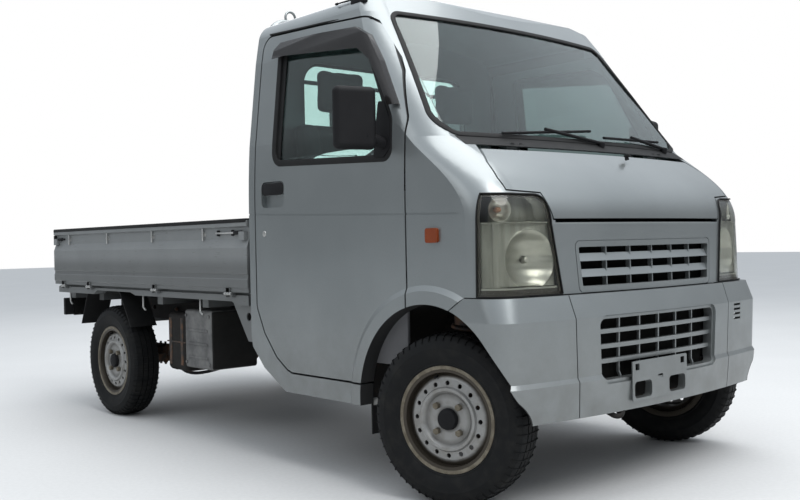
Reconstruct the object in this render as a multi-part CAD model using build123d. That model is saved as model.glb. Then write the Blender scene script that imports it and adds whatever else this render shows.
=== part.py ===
from build123d import *
import math
import os

os.makedirs("parts", exist_ok=True)

# The truck in millimetres. X points to its left, Y to its rear and Z up.
# Stations along the truck are measured back from the front axle until the end.
overall_length = 3395.0
overall_width = 1475.0
wheelbase = 2350.0
front_overhang = 392.5
track_width = 1290.0
tyre_diameter = 542.0
tyre_width = 146.0
steer_at_rest = 16.0

half_width = overall_width / 2
flare_out = 8.0
side_half = half_width - flare_out
rear_end = overall_length - front_overhang
axle_height = tyre_diameter / 2
wheel_x = track_width / 2
front_axle_y = front_overhang - overall_length / 2

made = {}


def slab(axis, face, low, high):
    """Solid of a flat outline that runs from low to high along an axis."""
    planes = {
        "x": Plane((low, 0, 0), x_dir=(0, 1, 0), z_dir=(1, 0, 0)),
        "y": Plane((0, low, 0), x_dir=(1, 0, 0), z_dir=(0, -1, 0)),
        "z": Plane((0, 0, low), x_dir=(1, 0, 0), z_dir=(0, 0, 1)),
    }
    ways = {"x": (1, 0, 0), "y": (0, 1, 0), "z": (0, 0, 1)}
    return extrude(planes[axis] * face, amount=high - low, dir=ways[axis])


def outline(points, radius=0.0):
    """Flat face of a closed outline, its corners rounded by one radius or a list."""
    if radius:
        return make_face(FilletPolyline(*points, radius=radius, close=True))
    return make_face(Polyline(*points, close=True))


def block(x, y, z):
    """Box between two widths, two stations and two heights."""
    middle = ((x[0] + x[1]) / 2, (y[0] + y[1]) / 2, (z[0] + z[1]) / 2)
    return Pos(*middle) * Box(x[1] - x[0], y[1] - y[0], z[1] - z[0])


def rod(axis, radius, start, length):
    """Round bar from a start point along an axis."""
    ways = {"x": (1, 0, 0), "y": (0, 1, 0), "z": (0, 0, 1)}
    plane = Plane(start, z_dir=ways[axis])
    return extrude(plane * Circle(radius), amount=length, dir=ways[axis])


def bar(start, end, radius):
    """Round bar between two points."""
    way = Vector(*end) - Vector(*start)
    plane = Plane(start, z_dir=way)
    return extrude(plane * Circle(radius), amount=way.length)


def joined(shapes):
    """One compound or solid of several shapes fused together."""
    total = shapes[0]
    for shape in shapes[1:]:
        total = total + shape
    return total


def both_sides(shape):
    """The shape and its mirror image on the other side of the truck."""
    return shape + mirror(shape, Plane.YZ)


def keep(name, shape):
    made[name] = shape


# Cab body. Its side leans in above the waist on one large arc, the nose is a
# loft of plan sections and the roof is a shallow arch both ways.
cab_bottom = 278.0
waist = 950.0
mid_height = 1330.0
mid_half = 711.0
rail_height = 1655.0
rail_half = 664.0
roof_corner_height = 1716.0
roof_corner_half = 598.0
roof_height = 1765.0
rail_bow = 9.0
# Roof line from the side: stations and drops below the highest point.
crown_y = 720.0
crown_rear_drop = 14.0
brow_y = 430.0
brow_drop = 22.0
brow_middle = (340.0, 50.0)
brow_foot = (278.0, 1655.0)
cab_rear = 1022.0
lower_wall = 50.0
upper_wall = 34.0
nose_wall = 24.0
roof_wall = 22.0
arch_radius = 335.0
arch_height = 300.0
belt = 1112.0
play = 0.3
nose_top = 1171.0

# Nose sections: height, half width, centre station, shoulder width and
# station, corner middle width and station, corner end station.
nose_low = [
    (277.0, side_half, -357.0, 600.0, -307.0, 701.0, -269.0, -185.0),
    (880.0, side_half, -348.0, 600.0, -286.0, 697.0, -250.0, -160.0),
]
nose_high = [
    (880.0, side_half, -348.0, 600.0, -286.0, 697.0, -250.0, -160.0),
    (960.0, side_half, -336.0, 600.0, -273.0, 694.0, -234.0, -130.0),
    (1040.0, side_half, -272.0, 600.0, -215.0, 694.0, -165.0, -55.0),
    (nose_top, 726.0, -84.0, 640.0, -30.0, 693.0, 12.0, 108.0),
]
greenhouse = [
    (nose_top, 726.0, -84.0, 640.0, -30.0, 693.0, 12.0, 108.0),
    (1641.0, 672.0, 272.0, 581.0, 322.0, 640.0, 342.0, 395.0),
    (1800.0, 650.0, 392.0, 545.0, 442.0, 610.0, 462.0, 520.0),
]
bumper_sections = [
    (278.0, 735.0, -384.0, 667.0, -327.0, 711.5, -305.0, -248.0),
    (390.0, half_width, -front_overhang, 670.0, -335.7, 714.0, -313.3, -256.7),
    (404.0, 733.0, -386.0, 665.5, -329.0, 709.5, -307.0, -250.0),
    (587.0, half_width, -391.0, 670.0, -334.0, 714.0, -312.0, -255.0),
    (659.0, 734.0, -366.0, 650.0, -314.0, 706.0, -286.0, -216.0),
]


def plan_face(row, side, front):
    """Plan section of the nose, set in from the skin by the two wall sizes."""
    z, half, centre, shoulder_x, shoulder_y, corner_x, corner_y, end = row
    half = half - side
    corner_x = corner_x - 0.8 * side
    centre = centre + front
    shoulder_y = shoulder_y + front
    corner_y = corner_y + 0.8 * front
    front_arc = ThreePointArc((-shoulder_x, shoulder_y), (0, centre), (shoulder_x, shoulder_y))
    left_arc = ThreePointArc((shoulder_x, shoulder_y), (corner_x, corner_y), (half, end))
    right_arc = ThreePointArc((-half, end), (-corner_x, corner_y), (-shoulder_x, shoulder_y))
    rest = Polyline((half, end), (half, cab_rear), (-half, cab_rear), (-half, end))
    return Plane((0, 0, z)) * make_face([front_arc, left_arc, rest, right_arc])


def nose(rows, side, front, ruled=True):
    """Loft through the plan sections of one part of the nose."""
    return loft([plan_face(row, side, front) for row in rows], ruled=ruled)


def nose_row(z, back):
    """Plan row of the lower nose at one height, moved back from the skin."""
    low, high = nose_low
    share = (z - low[0]) / (high[0] - low[0])
    row = [a + share * (b - a) for a, b in zip(low, high)]
    for column in (2, 4, 6):
        row[column] = row[column] + back
    return row


def front_view(side, top):
    """Outline of the cab seen from the front, as a prism along the truck."""
    low = cab_bottom - 1
    right = ThreePointArc(
        (side_half - side, waist), (mid_half - side, mid_height), (rail_half - side, rail_height)
    )
    left = ThreePointArc(
        (side - rail_half, rail_height), (side - mid_half, mid_height), (side - side_half, waist)
    )
    corner_x = roof_corner_half - side
    corner_z = roof_corner_height - top
    bend_x = (rail_half + roof_corner_half) / 2 - side + rail_bow
    bend_z = (rail_height + roof_corner_height) / 2 + rail_bow - top / 2
    shoulder = rail_half - side
    right_bend = ThreePointArc((shoulder, rail_height), (bend_x, bend_z), (corner_x, corner_z))
    left_bend = ThreePointArc((-corner_x, corner_z), (-bend_x, bend_z), (-shoulder, rail_height))
    crown = ThreePointArc((corner_x, corner_z), (0, roof_height - top), (-corner_x, corner_z))
    edge = side_half - side
    foot = Polyline((-edge, waist), (-edge, low), (edge, low), (edge, waist))
    return slab("y", make_face([foot, right, right_bend, crown, left_bend, left]), -500, cab_rear)


def roof_view(top, rear):
    """Outline of the cab seen from the side, as a prism across the truck."""
    crest = roof_height - top
    back = (cab_rear - rear, crest - crown_rear_drop)
    start = (brow_y, crest - brow_drop)
    end = (brow_foot[0] + top, brow_foot[1] - top)
    crown = ThreePointArc(back, (crown_y, crest), start)
    brow = ThreePointArc(start, (brow_middle[0], crest - brow_middle[1]), end)
    rest = Polyline(end, (-500, end[1]), (-500, 200), (back[0], 200), back)
    return slab("x", make_face([crown, brow, rest]), -800, 800)


def cab_solid(side, front, top, rear):
    """Whole cab outline as one solid, set in by its wall sizes."""
    lower = nose(nose_low, side, front)
    middle = nose(nose_high, side, front, ruled=False)
    upper = nose(greenhouse, side, front)
    return (lower + middle + upper) & front_view(side, top) & roof_view(top, rear)


# Cab skins and the space inside them.
# A flare round each front wheel opening brings the body out to the full width.
flare_flat = 378.0
flare_end = 396.0
flare_root = 30.0
flare_low = arch_radius - flare_root
flare_line = [
    (side_half - flare_root, flare_low), (half_width, flare_low), (half_width, flare_flat),
    (side_half, flare_end), (side_half - flare_root, flare_end),
]
flare = Pos(0, 0, arch_height) * revolve(Plane.XY * outline(flare_line), axis=Axis.X)
flare = flare & nose(nose_low, -flare_out, 0)
cab_outer = cab_solid(0, 0, 0, 0) + both_sides(flare)
rear_wall = 28.0
floor_top = 410.0
floor_wall = 15.0
below_belt = block((-800, 800), (-500, 1100), (200, belt))
above_belt = block((-800, 800), (-500, 1100), (belt, 1900))
inner_low = cab_solid(lower_wall, nose_wall, roof_wall, rear_wall) & below_belt
inner_high = cab_solid(upper_wall, nose_wall, roof_wall, rear_wall) & above_belt
cab_inner = inner_low + inner_high
cab_shell = cab_outer - cab_inner
arch_cut = rod("x", arch_radius, (-900, 0, arch_height), 1800)
tail_line = [(791, cab_bottom), (934, 357), (1013, 434), (cab_rear, 475)]
cab_side_view = outline([(-500, cab_bottom)] + tail_line + [(cab_rear, 1900), (-500, 1900)])
cab_shell = (cab_shell & slab("x", cab_side_view, -900, 900)) - arch_cut
# One pressed line runs along the waist over the door and the front panel.
groove_deep = 2.5
groove_high = 6.0
groove_line = [(-150, waist - 32), (330, waist - 19), (cab_rear + 5, waist + 5)]
groove_face = [(y, z + groove_high / 2) for y, z in groove_line]
groove_face = groove_face + [(y, z - groove_high / 2) for y, z in reversed(groove_line)]
groove = slab("x", outline(groove_face), side_half - groove_deep, half_width + 5)
cab_shell = cab_shell - both_sides(groove)

# Doors: the gap line seen from the side, and the window inside it.
door_gap = 7.0
door_line = [
    (93, 352), (93, 1235), (168, 1406), (276, 1578), (342, 1619), (610, 1636),
    (978, 1653), (978, 592), (928, 493), (848, 404), (778, 361), (748, 352),
]
door_rounds = [4, 60, 60, 60, 50, 60, 55, 60, 50, 50, 20, 8]
window_line = [(856, 1135), (860, 1592), (395, 1576), (318, 1530), (163, 1240), (159, 1103)]
window_rounds = [55, 40, 40, 50, 50, 40]
door_inner = 636.0
# Door hinges: a leaf on the front panel's inner face reaches out to the pin.
hinge_skin = 8.5
hinge_pin_x = side_half - hinge_skin
hinge_pin_y = 122.0
door_hinges = [720.0, 1040.0]
leaf_half = 18.0
leaf_wall = 10.0
leaf_front = 50.0
leaf_arm = 6.0
door_pin = 4.0
door_bore = 4.4
pin_reach = 12.0
leaf_room = 4.0
leaf_back = side_half - lower_wall


def grown(points, gap, radius=0.0):
    """Outline moved out, or in if the gap is negative."""
    return offset(outline(points, radius), amount=gap, kind=Kind.INTERSECTION)


def hinge_leaf(height):
    """Fixed leaf, knuckle and pin of one left door hinge."""
    reach = (height - leaf_half, height + leaf_half)
    leaf = block((leaf_back - leaf_wall, leaf_back), (leaf_front, hinge_pin_y + leaf_arm), reach)
    arm_long = (hinge_pin_y - leaf_arm, hinge_pin_y + leaf_arm)
    leaf = leaf + block((leaf_back - leaf_wall, hinge_pin_x), arm_long, reach)
    leaf = leaf + rod("z", leaf_arm, (hinge_pin_x, hinge_pin_y, height - leaf_half), 2 * leaf_half)
    low = height - leaf_half - pin_reach
    return leaf + rod("z", door_pin, (hinge_pin_x, hinge_pin_y, low), 2 * (leaf_half + pin_reach))


def hinge_pocket(height):
    """What one hinge takes out of the left door: a pocket and the pin's bore."""
    reach = (height - leaf_half - leaf_room, height + leaf_half + leaf_room)
    wide = (door_inner, hinge_pin_x + leaf_arm + 0.5)
    pocket = block(wide, (leaf_front, hinge_pin_y + leaf_arm + 2 * leaf_room), reach)
    low = height - leaf_half - pin_reach - 1
    reach = 2 * (leaf_half + pin_reach + 1)
    return pocket + rod("z", door_bore, (hinge_pin_x, hinge_pin_y, low), reach)


door_opening = both_sides(slab("x", grown(door_line, door_gap / 2, door_rounds), door_inner, 800))
door_zone = slab("x", grown(door_line, -door_gap / 2, door_rounds), door_inner, 800)
window_zone = slab("x", outline(window_line, window_rounds), 540, 800)
door_left = (cab_shell & door_zone) - window_zone
for height in door_hinges:
    door_left = door_left - hinge_pocket(height)
glass_set = 12.0
glass_wall = 5.0
glass_skin = cab_solid(glass_set, glass_set, glass_set, glass_set)
glass_skin = glass_skin - cab_solid(glass_set + glass_wall, glass_set + glass_wall, glass_set, glass_set)
door_glass = glass_skin & window_zone

# Windscreen, rear window and the panels around them.
screen_base = 1174.0
screen_line = [(-676, screen_base), (-581, 1641), (581, 1641), (676, screen_base)]
screen_rounds = [70, 50, 50, 70]
screen_zone = slab("y", outline(screen_line, screen_rounds), -300, 600)
screen_set = 4.0
screen_deep = screen_set + glass_wall
screen_skin = cab_solid(screen_set, screen_set, screen_set, screen_set)
screen_skin = screen_skin - cab_solid(screen_deep, screen_deep, screen_set, screen_set)
windscreen = screen_skin & screen_zone
rear_half = 465.0
rear_low = 1165.0
rear_high = 1585.0
rear_round = 90.0
rear_glass_set = 12.0
rear_glass_wall = 6.0
rear_line = [(-rear_half, rear_low), (rear_half, rear_low), (rear_half, rear_high), (-rear_half, rear_high)]
rear_zone = slab("y", outline(rear_line, rear_round), cab_rear - rear_wall, cab_rear)
rear_face = cab_rear - rear_glass_set
rear_window = rear_zone & block((-800, 800), (rear_face - rear_glass_wall, rear_face), (1000, 1700))
keep("cab_glass", windscreen + rear_window)

open_shell = cab_shell - screen_zone
roof_seam = 1668.0
header_half = 566.0
roof_zone = block((-800, 800), (-500, 1100), (roof_seam, 1900))
roof_zone = roof_zone + block((-header_half, header_half), (-500, 480), (1600, roof_seam))
back_half = 640.0
back_low = floor_top - floor_wall
back_zone = block((-back_half, back_half), (cab_rear - rear_wall, cab_rear), (back_low, roof_seam))
panel_low = 662.0
panel_foot = 617.0
nose_outline = [
    (-500, panel_low), (-169, panel_low), (-98, panel_foot), (93, panel_foot), (93, 1203),
    (-18, screen_base), (-500, screen_base),
]
nose_zone = slab("x", outline(nose_outline), -900, 900)
keep("roof", open_shell & roof_zone)
back_wall = (cab_shell & back_zone) - rear_zone
keep("back_wall", back_wall)
frame_shell = open_shell - door_opening - roof_zone - back_zone - nose_zone
nose_front = block((-900, 900), (-500, 88), (200, screen_base))
rocker = block((600, half_width - lower_wall), (357, 770), (cab_bottom, 346))
side_frame = (frame_shell - nose_front) & block((1, 900), (-500, 1100), (200, 1900))
side_frame = side_frame + rocker
keep("side_frame_left", side_frame)
keep("side_frame_right", mirror(side_frame, Plane.YZ))

# Front panel with its lamp, lid and grille openings.
lamp_line = [(450, panel_low), (501, 972), (780, 976), (780, panel_low)]
lamp_rounds = [6, 42, 10, 10]
lamp_rear = -215.0
lamp_depth = 60.0
lamp_zone = slab("y", outline(lamp_line, lamp_rounds), -500, lamp_rear)
lamp_zones = both_sides(lamp_zone)
lamp_inner = cab_solid(lamp_depth, lamp_depth, 0, 0)
headlamps = (cab_outer - lamp_inner) & lamp_zones
lid_gap = 5.0
hinge_side = 1.0
lid_wall = 12.0
lid_low = 895.0
lid_foot = 10.0
lid_side = [(475, lid_low), (503, 978), (629, 986), (632, 1024), (619, 1075), (581, 1128)]
lid_line = lid_side + [(-x, z) for x, z in reversed(lid_side)]
cowl_side = lid_side[:-1] + [(581, 1138)]
cowl_line = cowl_side + [(-x, z) for x, z in reversed(cowl_side)]
lid_hinge_y = -70.0
lid_hinge_z = 1140.0
lid_opening = slab("y", grown(cowl_line, lid_gap / 2), -500, 30)
lid_opening = lid_opening + block((-468, 468), (-500, -200), (lid_low - lid_foot, lid_low))
lid_skin = cab_outer - cab_solid(lid_wall, lid_wall, 0, 0)
lid = lid_skin & slab("y", grown(lid_line, -lid_gap / 2), -500, 30)
grille_half = 392.0
grille_foot = 378.0
grille_low = panel_low
grille_high = 828.0
grille_round = 20.0
grille_line = [
    (-grille_foot, grille_low), (grille_foot, grille_low),
    (grille_half, grille_high), (-grille_half, grille_high),
]
grille_zone = slab("y", outline(grille_line, grille_round), -500, -250)
front_panel = (open_shell & nose_zone) - lamp_zones - lid_opening - grille_zone - door_opening
# The lid hangs from two arms that reach back under the cowl's edge.
lid_arm_x = 400.0
lid_arm_wall = 8.0
lid_knuckle = 7.0
lid_knuckle_long = 24.0
lid_pin = 3.0
lid_bore = 3.4
lid_lug_long = 13.0
arm_low = lid_hinge_z - 49
arm_line = [
    (lid_hinge_y - 4, lid_hinge_z), (lid_hinge_y + 4, lid_hinge_z), (lid_hinge_y + 4, arm_low),
    (lid_hinge_y - 104, arm_low + 8), (lid_hinge_y - 104, arm_low + 18), (lid_hinge_y - 4, arm_low + 9),
]
lid_arm = slab("x", outline(arm_line), lid_arm_x - lid_arm_wall / 2, lid_arm_x + lid_arm_wall / 2)
lid_arm = lid_arm & cab_solid(lid_wall, lid_wall, 0, 0)
knuckle_start = (lid_arm_x - lid_knuckle_long / 2, lid_hinge_y, lid_hinge_z)
bore_start = (lid_arm_x - lid_knuckle_long, lid_hinge_y, lid_hinge_z)
lid_arm = lid_arm + rod("x", lid_knuckle, knuckle_start, lid_knuckle_long)
lid_arm = lid_arm - rod("x", lid_bore, bore_start, 2 * lid_knuckle_long)
lid = lid + both_sides(lid_arm)
lug_start = lid_arm_x - lid_knuckle_long / 2 - hinge_side - lid_lug_long
lug_reach = lid_knuckle_long + 2 * hinge_side + 2 * lid_lug_long
lid_lugs = rod("x", lid_pin, (lug_start, lid_hinge_y, lid_hinge_z), lug_reach)
lug_deep = (lid_hinge_y - 28, lid_hinge_y + 5)
lug_high = (lid_hinge_z + lid_pin, lid_hinge_z + 13)
for start in (lug_start, lug_start + lug_reach - lid_lug_long):
    lid_lugs = lid_lugs + rod("x", lid_knuckle, (start, lid_hinge_y, lid_hinge_z), lid_lug_long)
    lid_lugs = lid_lugs + block((start, start + lid_lug_long), lug_deep, lug_high)
leaves = joined([hinge_leaf(height) for height in door_hinges])
front_panel = front_panel + both_sides(lid_lugs) + both_sides(leaves)
keep("front_panel", front_panel)
keep("headlamps", headlamps)
keep("front_lid", lid)

# Upper grille: a rounded frame with a groove round it, two slats whose faces
# lean back, and thin uprights set behind them.
grille_wall = 26.0
grille_bar = 17.0
grille_rail = 21.0
grille_groove = 2.5
grille_groove_deep = 5.0
slat_set = 1.0
slat_lean = 12.0
slat_back = 24.0
slat_heights = [(712.0, 736.0), (762.0, 787.0)]
upright_wide = 5.0
upright_set = 9.0
upright_back = 25.0
upright_count = 5
grille_back = cab_solid(grille_wall, grille_wall, 0, 0)
hole_low = grille_low + grille_rail
hole_high = grille_high - grille_rail
grille_hole = [
    (grille_bar - grille_foot, hole_low), (grille_foot - grille_bar, hole_low),
    (grille_half - grille_bar, hole_high), (grille_bar - grille_half, hole_high),
]
grille_edge = grille_zone - slab("y", grown(grille_line, -grille_groove, grille_round), -500, -250)
grille_edge = grille_edge - cab_solid(grille_groove_deep, grille_groove_deep, 0, 0)
upper_grille = (cab_outer - grille_back) & grille_zone
upper_grille = upper_grille - slab("y", outline(grille_hole, 6), -500, -250) - grille_edge
slat_reach = grille_foot - grille_bar / 2
slat_inner = cab_solid(slat_back, slat_back, 0, 0)
for low, high in slat_heights:
    slat = nose([nose_row(low, slat_set), nose_row(high, slat_set + slat_lean)], 0, 0) - slat_inner
    upper_grille = upper_grille + (slat & block((-slat_reach, slat_reach), (-500, -250), (low, high)))
upright_skin = cab_solid(upright_set, upright_set, 0, 0) - cab_solid(upright_back, upright_back, 0, 0)
upright_high = (hole_low - grille_rail / 2, hole_high + grille_rail / 2)
upright_pitch = 2 * (grille_foot - grille_bar) / (upright_count + 1)
for index in range(upright_count):
    x = (index - (upright_count - 1) / 2) * upright_pitch
    post = block((x - upright_wide / 2, x + upright_wide / 2), (-500, -250), upright_high)
    upper_grille = upper_grille + (post & upright_skin)
keep("upper_grille", upper_grille)

# Bumper with a deep mouth and two openings behind the plate bracket.
bumper_wall = 22.0
bumper_top = 659.0
mouth_low = 384.0
mouth_high = 578.0
mouth_foot = 318.0
mouth_half = 328.0
mouth_round = 22.0
mouth_line = [
    (-mouth_foot, mouth_low), (mouth_foot, mouth_low), (mouth_half, mouth_high), (-mouth_half, mouth_high),
]
mouth_zone = slab("y", outline(mouth_line, mouth_round), -500, -250)
bumper_outer = nose(bumper_sections, 0, 0)
bumper_hollow = nose(bumper_sections, bumper_wall, bumper_wall)
bumper_inner = bumper_hollow + bumper_hollow.moved(Pos(0, 0, -3)) + bumper_hollow.moved(Pos(0, 0, 3))
bumper_line = [
    (-103, cab_bottom), (-500, cab_bottom), (-500, bumper_top), (-169, bumper_top), (-103, panel_foot),
]
bumper_side = slab("x", outline(bumper_line), -900, 900)
# The corner pieces meet the middle at two seams, the mouth has a set-back
# frame, and the left corner has four vent slots.
seam_deep = 5.0
seam_wide = 4.0
lip_deep = 9.0
lip_wide = 12.0
seam_foot = 428.0
seam_top = 446.0
seam_line = [(seam_foot, 270), (seam_foot + seam_wide, 270), (seam_top + seam_wide, 665), (seam_top, 665)]
seam_skin = bumper_outer - nose(bumper_sections, seam_deep, seam_deep)
seams = seam_skin & both_sides(slab("y", outline(seam_line), -500, -250))
lip_inner = nose(bumper_sections, lip_deep, lip_deep)
mouth_lip = (bumper_outer - lip_inner) & slab("y", grown(mouth_line, lip_wide, mouth_round), -500, -250)
throat_wall = 8.0
throat_deep = 42.0
throat = slab("y", grown(mouth_line, throat_wall, mouth_round), -500, -250) - mouth_zone
throat = throat & (lip_inner - nose(bumper_sections, throat_deep, throat_deep))
vent_x = (493, 552)
vent_high = 8.0
vents = [block(vent_x, (-500, -250), (z, z + vent_high)) for z in (521, 538, 555, 572)]
bumper = ((bumper_outer - bumper_inner) & bumper_side) - arch_cut - mouth_zone
bumper = (bumper - seams - mouth_lip - vents) + throat
keep("bumper", bumper)
# The bars in the mouth run unbroken in front of the thin uprights.
mouth_set = 20.0
mouth_wall = 16.0
bar_back = mouth_set + mouth_wall
bar_skin = nose(bumper_sections, mouth_set, mouth_set) - nose(bumper_sections, bar_back, bar_back)
post_set = mouth_set + 8.0
post_back = bar_back + 1.0
post_skin = nose(bumper_sections, post_set, post_set) - nose(bumper_sections, post_back, post_back)
mouth_bars = [442.0, 489.0, 537.0]
mouth_bar = 14.0
mouth_post = 6.0
mouth_posts = 5
post_pitch = 2 * mouth_foot / (mouth_posts + 1)
lower_grille = joined(
    [block((-350, 350), (-500, -250), (z - mouth_bar / 2, z + mouth_bar / 2)) & bar_skin for z in mouth_bars]
)
for index in range(mouth_posts):
    x = (index - (mouth_posts - 1) / 2) * post_pitch
    post = block((x - mouth_post / 2, x + mouth_post / 2), (-500, -250), (mouth_low, mouth_high))
    lower_grille = lower_grille + (post & post_skin)
lower_grille = lower_grille & mouth_zone
keep("lower_grille", lower_grille)

# Doors with their handle cups, set by the cab's skin, and what they carry.
handle_y = 855.0
handle_z = 1026.0
handle_long = 152.0
handle_high = 98.0
handle_deep = 22.0
handle_round = 22.0
handle_gap = 4.0
cup = block(
    (side_half - handle_deep, half_width + 1),
    (handle_y - handle_long / 2, handle_y + handle_long / 2),
    (handle_z - handle_high / 2, handle_z + handle_high / 2),
)
cup = fillet(cup.edges().filter_by(Axis.X), handle_round)
flap = block(
    (side_half - handle_deep, side_half - 3),
    (handle_y - handle_long / 2 + handle_gap, handle_y + handle_long / 2 - handle_gap),
    (handle_z - handle_gap, handle_z + handle_high / 2 - handle_gap),
)
flap = fillet(flap.edges().filter_by(Axis.X), handle_round - handle_gap)
door_left = (door_left - cup) + flap
keep("door_left", door_left)
keep("door_right", mirror(door_left, Plane.YZ))

visor_out = 20.0
visor_wall = 3.5
visor_line = [
    (880, 1550), (872, 1584), (830, 1606), (626, 1602), (372, 1584), (306, 1547), (234, 1447), (136, 1286),
    (168, 1286), (222, 1372), (284, 1458), (352, 1506), (800, 1550),
]
visor_zone = slab("x", outline(visor_line), 540, 900)
visor_outer = cab_solid(-visor_out, -visor_out, -visor_out, 0)
visor_inner = cab_solid(visor_wall - visor_out, visor_wall - visor_out, -visor_out, 0)
visor_hollow = visor_inner & visor_zone.moved(Pos(0, visor_wall, -visor_wall))
visor = ((visor_outer - cab_outer) & visor_zone) - visor_hollow
door_glass = door_glass + visor
keep("door_glass_left", door_glass)
keep("door_glass_right", mirror(door_glass, Plane.YZ))

mirror_x = 830.0
mirror_y = 220.0
mirror_z = 1242.0
mirror_wide = 147.0
mirror_deep = 44.0
mirror_high = 206.0
mirror_turn = 17.0
mirror_round = 20.0
mirror_head = fillet(Box(mirror_wide, mirror_deep, mirror_high).edges(), mirror_round)
mirror_head = Pos(mirror_x, mirror_y, mirror_z) * Rot(0, 0, mirror_turn) * mirror_head
mirror_arm = 19.0
mirror_foot = (700, 196, 1152)
mirror_neck = (800, 206, 1186)
sail_line = [(166, 1146), (194, 1118), (246, 1120), (236, 1306), (206, 1306), (170, 1240)]
sail_out = 4.0
sail_back = cab_solid(glass_set - play, 0, 0, 0)
sail = cab_solid(-sail_out, -sail_out, -sail_out, 0) & slab("x", outline(sail_line, 6), 600, 800)
door_mirror = mirror_head + ((bar(mirror_foot, mirror_neck, mirror_arm) + sail) - sail_back)
keep("mirror_left", door_mirror)
keep("mirror_right", mirror(door_mirror, Plane.YZ))

# Cab floor with its wheel housings, toe board and seat box.
floor_edge = 668.0
well_inner = 400.0
well_radius = 345.0
well_wall = 12.0
seat_box_front = 520.0
seat_box_half = 640.0
seat_box_top = 740.0
box_wall = 12.0
under_door = block((-floor_edge, floor_edge), (-500, 1100), (200, 900))
under_door = under_door + block((-800, 800), (-500, 88), (200, 900))
well = rod("x", well_radius, (well_inner, 0, arch_height), 400)
well_skin = rod("x", well_radius + well_wall, (well_inner - box_wall, 0, arch_height), 400)
wells = both_sides(well)
plate = block((-800, 800), (-500, 1100), (floor_top - floor_wall, floor_top))
toe_board = block((-800, 800), (-322, -310), (floor_top - floor_wall, 655))
skins = both_sides(well_skin) & block((-900, 900), (-500, 900), (arch_height, 900))
seat_box = block((-seat_box_half, seat_box_half), (seat_box_front, 1100), (floor_top, seat_box_top))
# The space under the seats is open below only between the frame rails.
box_inner = seat_box_half - box_wall
space_long = (seat_box_front + box_wall, 1100)
space_top = seat_box_top - box_wall
engine_bay = 330.0
seat_space = block((-engine_bay, engine_bay), space_long, (200, space_top))
seat_space = seat_space + block((-box_inner, box_inner), space_long, (floor_top, space_top))
sill_rest = both_sides(block((600, floor_edge), (360, 765), (346, floor_top)))
cab_floor = ((plate + toe_board + skins + seat_box + sill_rest) & cab_inner & under_door) - wells - seat_space
keep("cab_floor", cab_floor)

# Seats, dashboard, steering column and wheel.
seat_x = 330.0
seat_wide = 480.0
# Side views of a seat's three pads: outline, corner radius and half width.
pads = [
    ([(560, seat_box_top), (950, seat_box_top), (950, 862), (600, 880), (560, 850)], 14, seat_wide / 2),
    ([(840, 850), (950, 850), (988, 1330), (900, 1330)], 20, seat_wide / 2 - 10),
    ([(892, 1362), (958, 1362), (962, 1550), (908, 1550)], 20, 120),
]
seat = joined([slab("x", outline(line, bend), seat_x - half, seat_x + half) for line, bend, half in pads])
post_spread = 50.0
post_radius = 6.0
post_y = 930.0
for x in (seat_x - post_spread, seat_x + post_spread):
    seat = seat + rod("z", post_radius, (x, post_y, 1300), 100)
keep("seats", both_sides(seat))

dash_line = [(-160, 905), (-60, 890), (20, 900), (45, 960), (30, 1035), (-20, 1072), (-160, 1080)]
dashboard = slab("x", outline(dash_line), -800, 800) & cab_inner
wheel_lean = 35.0
wheel_y = 215.0
wheel_z = 1010.0
wheel_ring = 185.0
wheel_grip = 13.0
wheel_side = -seat_x
way = Vector(0, math.sin(math.radians(wheel_lean)), math.cos(math.radians(wheel_lean)))
hub = Vector(wheel_side, wheel_y, wheel_z)
foot = hub - way * ((wheel_z - floor_top + 40) / way.Z)
column_radius = 22.0
boss_radius = 48.0
boss_deep = 30.0
spoke_wide = 34.0
spoke_thick = 10.0
spoke_drop = 4.0
bracket_half = 30.0
steering = bar(tuple(foot), tuple(hub), column_radius) - block((-800, 800), (-500, 500), (200, floor_top))
ring_plane = Plane(tuple(hub), x_dir=(1, 0, 0), z_dir=tuple(way))
steering = steering + ring_plane * Torus(wheel_ring, wheel_grip)
for angle in (0, 120, 240):
    spoke = Pos(wheel_ring / 2, 0, -spoke_drop) * Box(wheel_ring, spoke_wide, spoke_thick)
    steering = steering + ring_plane * Rot(0, 0, angle - 90) * spoke
steering = steering + ring_plane * Cylinder(boss_radius, boss_deep)
steering = steering + block((wheel_side - bracket_half, wheel_side + bracket_half), (20, 150), (925, 955))
keep("dashboard", dashboard + steering)

# Ladder frame, engine block and what hangs below.
rail_in = 315.0
rail_out = 365.0
rail_front = -325.0
rail_low = 300.0
rail_top = 395.0
rail_rear_low = 455.0
rail_rear_top = 565.0
rail_end = 2960.0
rail_line = [
    (rail_front, rail_low), (1010, rail_low), (1180, rail_rear_low), (rail_end, rail_rear_low),
    (rail_end, rail_rear_top), (1150, rail_rear_top), (1000, rail_top), (rail_front, rail_top),
]
rails = both_sides(slab("x", outline(rail_line), rail_in, rail_out))
# Crossmembers: front and rear station, lower and upper height.
crossmembers = [
    (rail_front, rail_front + 40, 305, 360),
    (-30, 50, 215, 300),
    (600, 660, 240, 300),
    (900, 960, 240, 300),
    (1200, 1240, 470, 550),
    (1880, 1940, 470, 550),
    (2480, 2520, 470, 550),
    (rail_end - 30, rail_end, 470, 550),
]
cross = joined([block((-rail_out, rail_out), row[:2], row[2:]) for row in crossmembers])
horns = both_sides(block((rail_in, rail_out), (rail_front - 55, rail_front), (310, 370)) & bumper_inner)
keep("frame", rails + cross + horns)

engine_half = 270.0
engine_rear = 980.0
engine_top = 640.0
keep("engine", block((-engine_half, engine_half), (560, engine_rear), (rail_low, engine_top)))

king_x = 545.0
king_radius = 17.0
ball_top = 227.0
strut_low = 560.0
strut_radius = 45.0
drum_radius = 100.0
disc_back = 38.0
drum_face = wheel_x + disc_back - play
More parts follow.
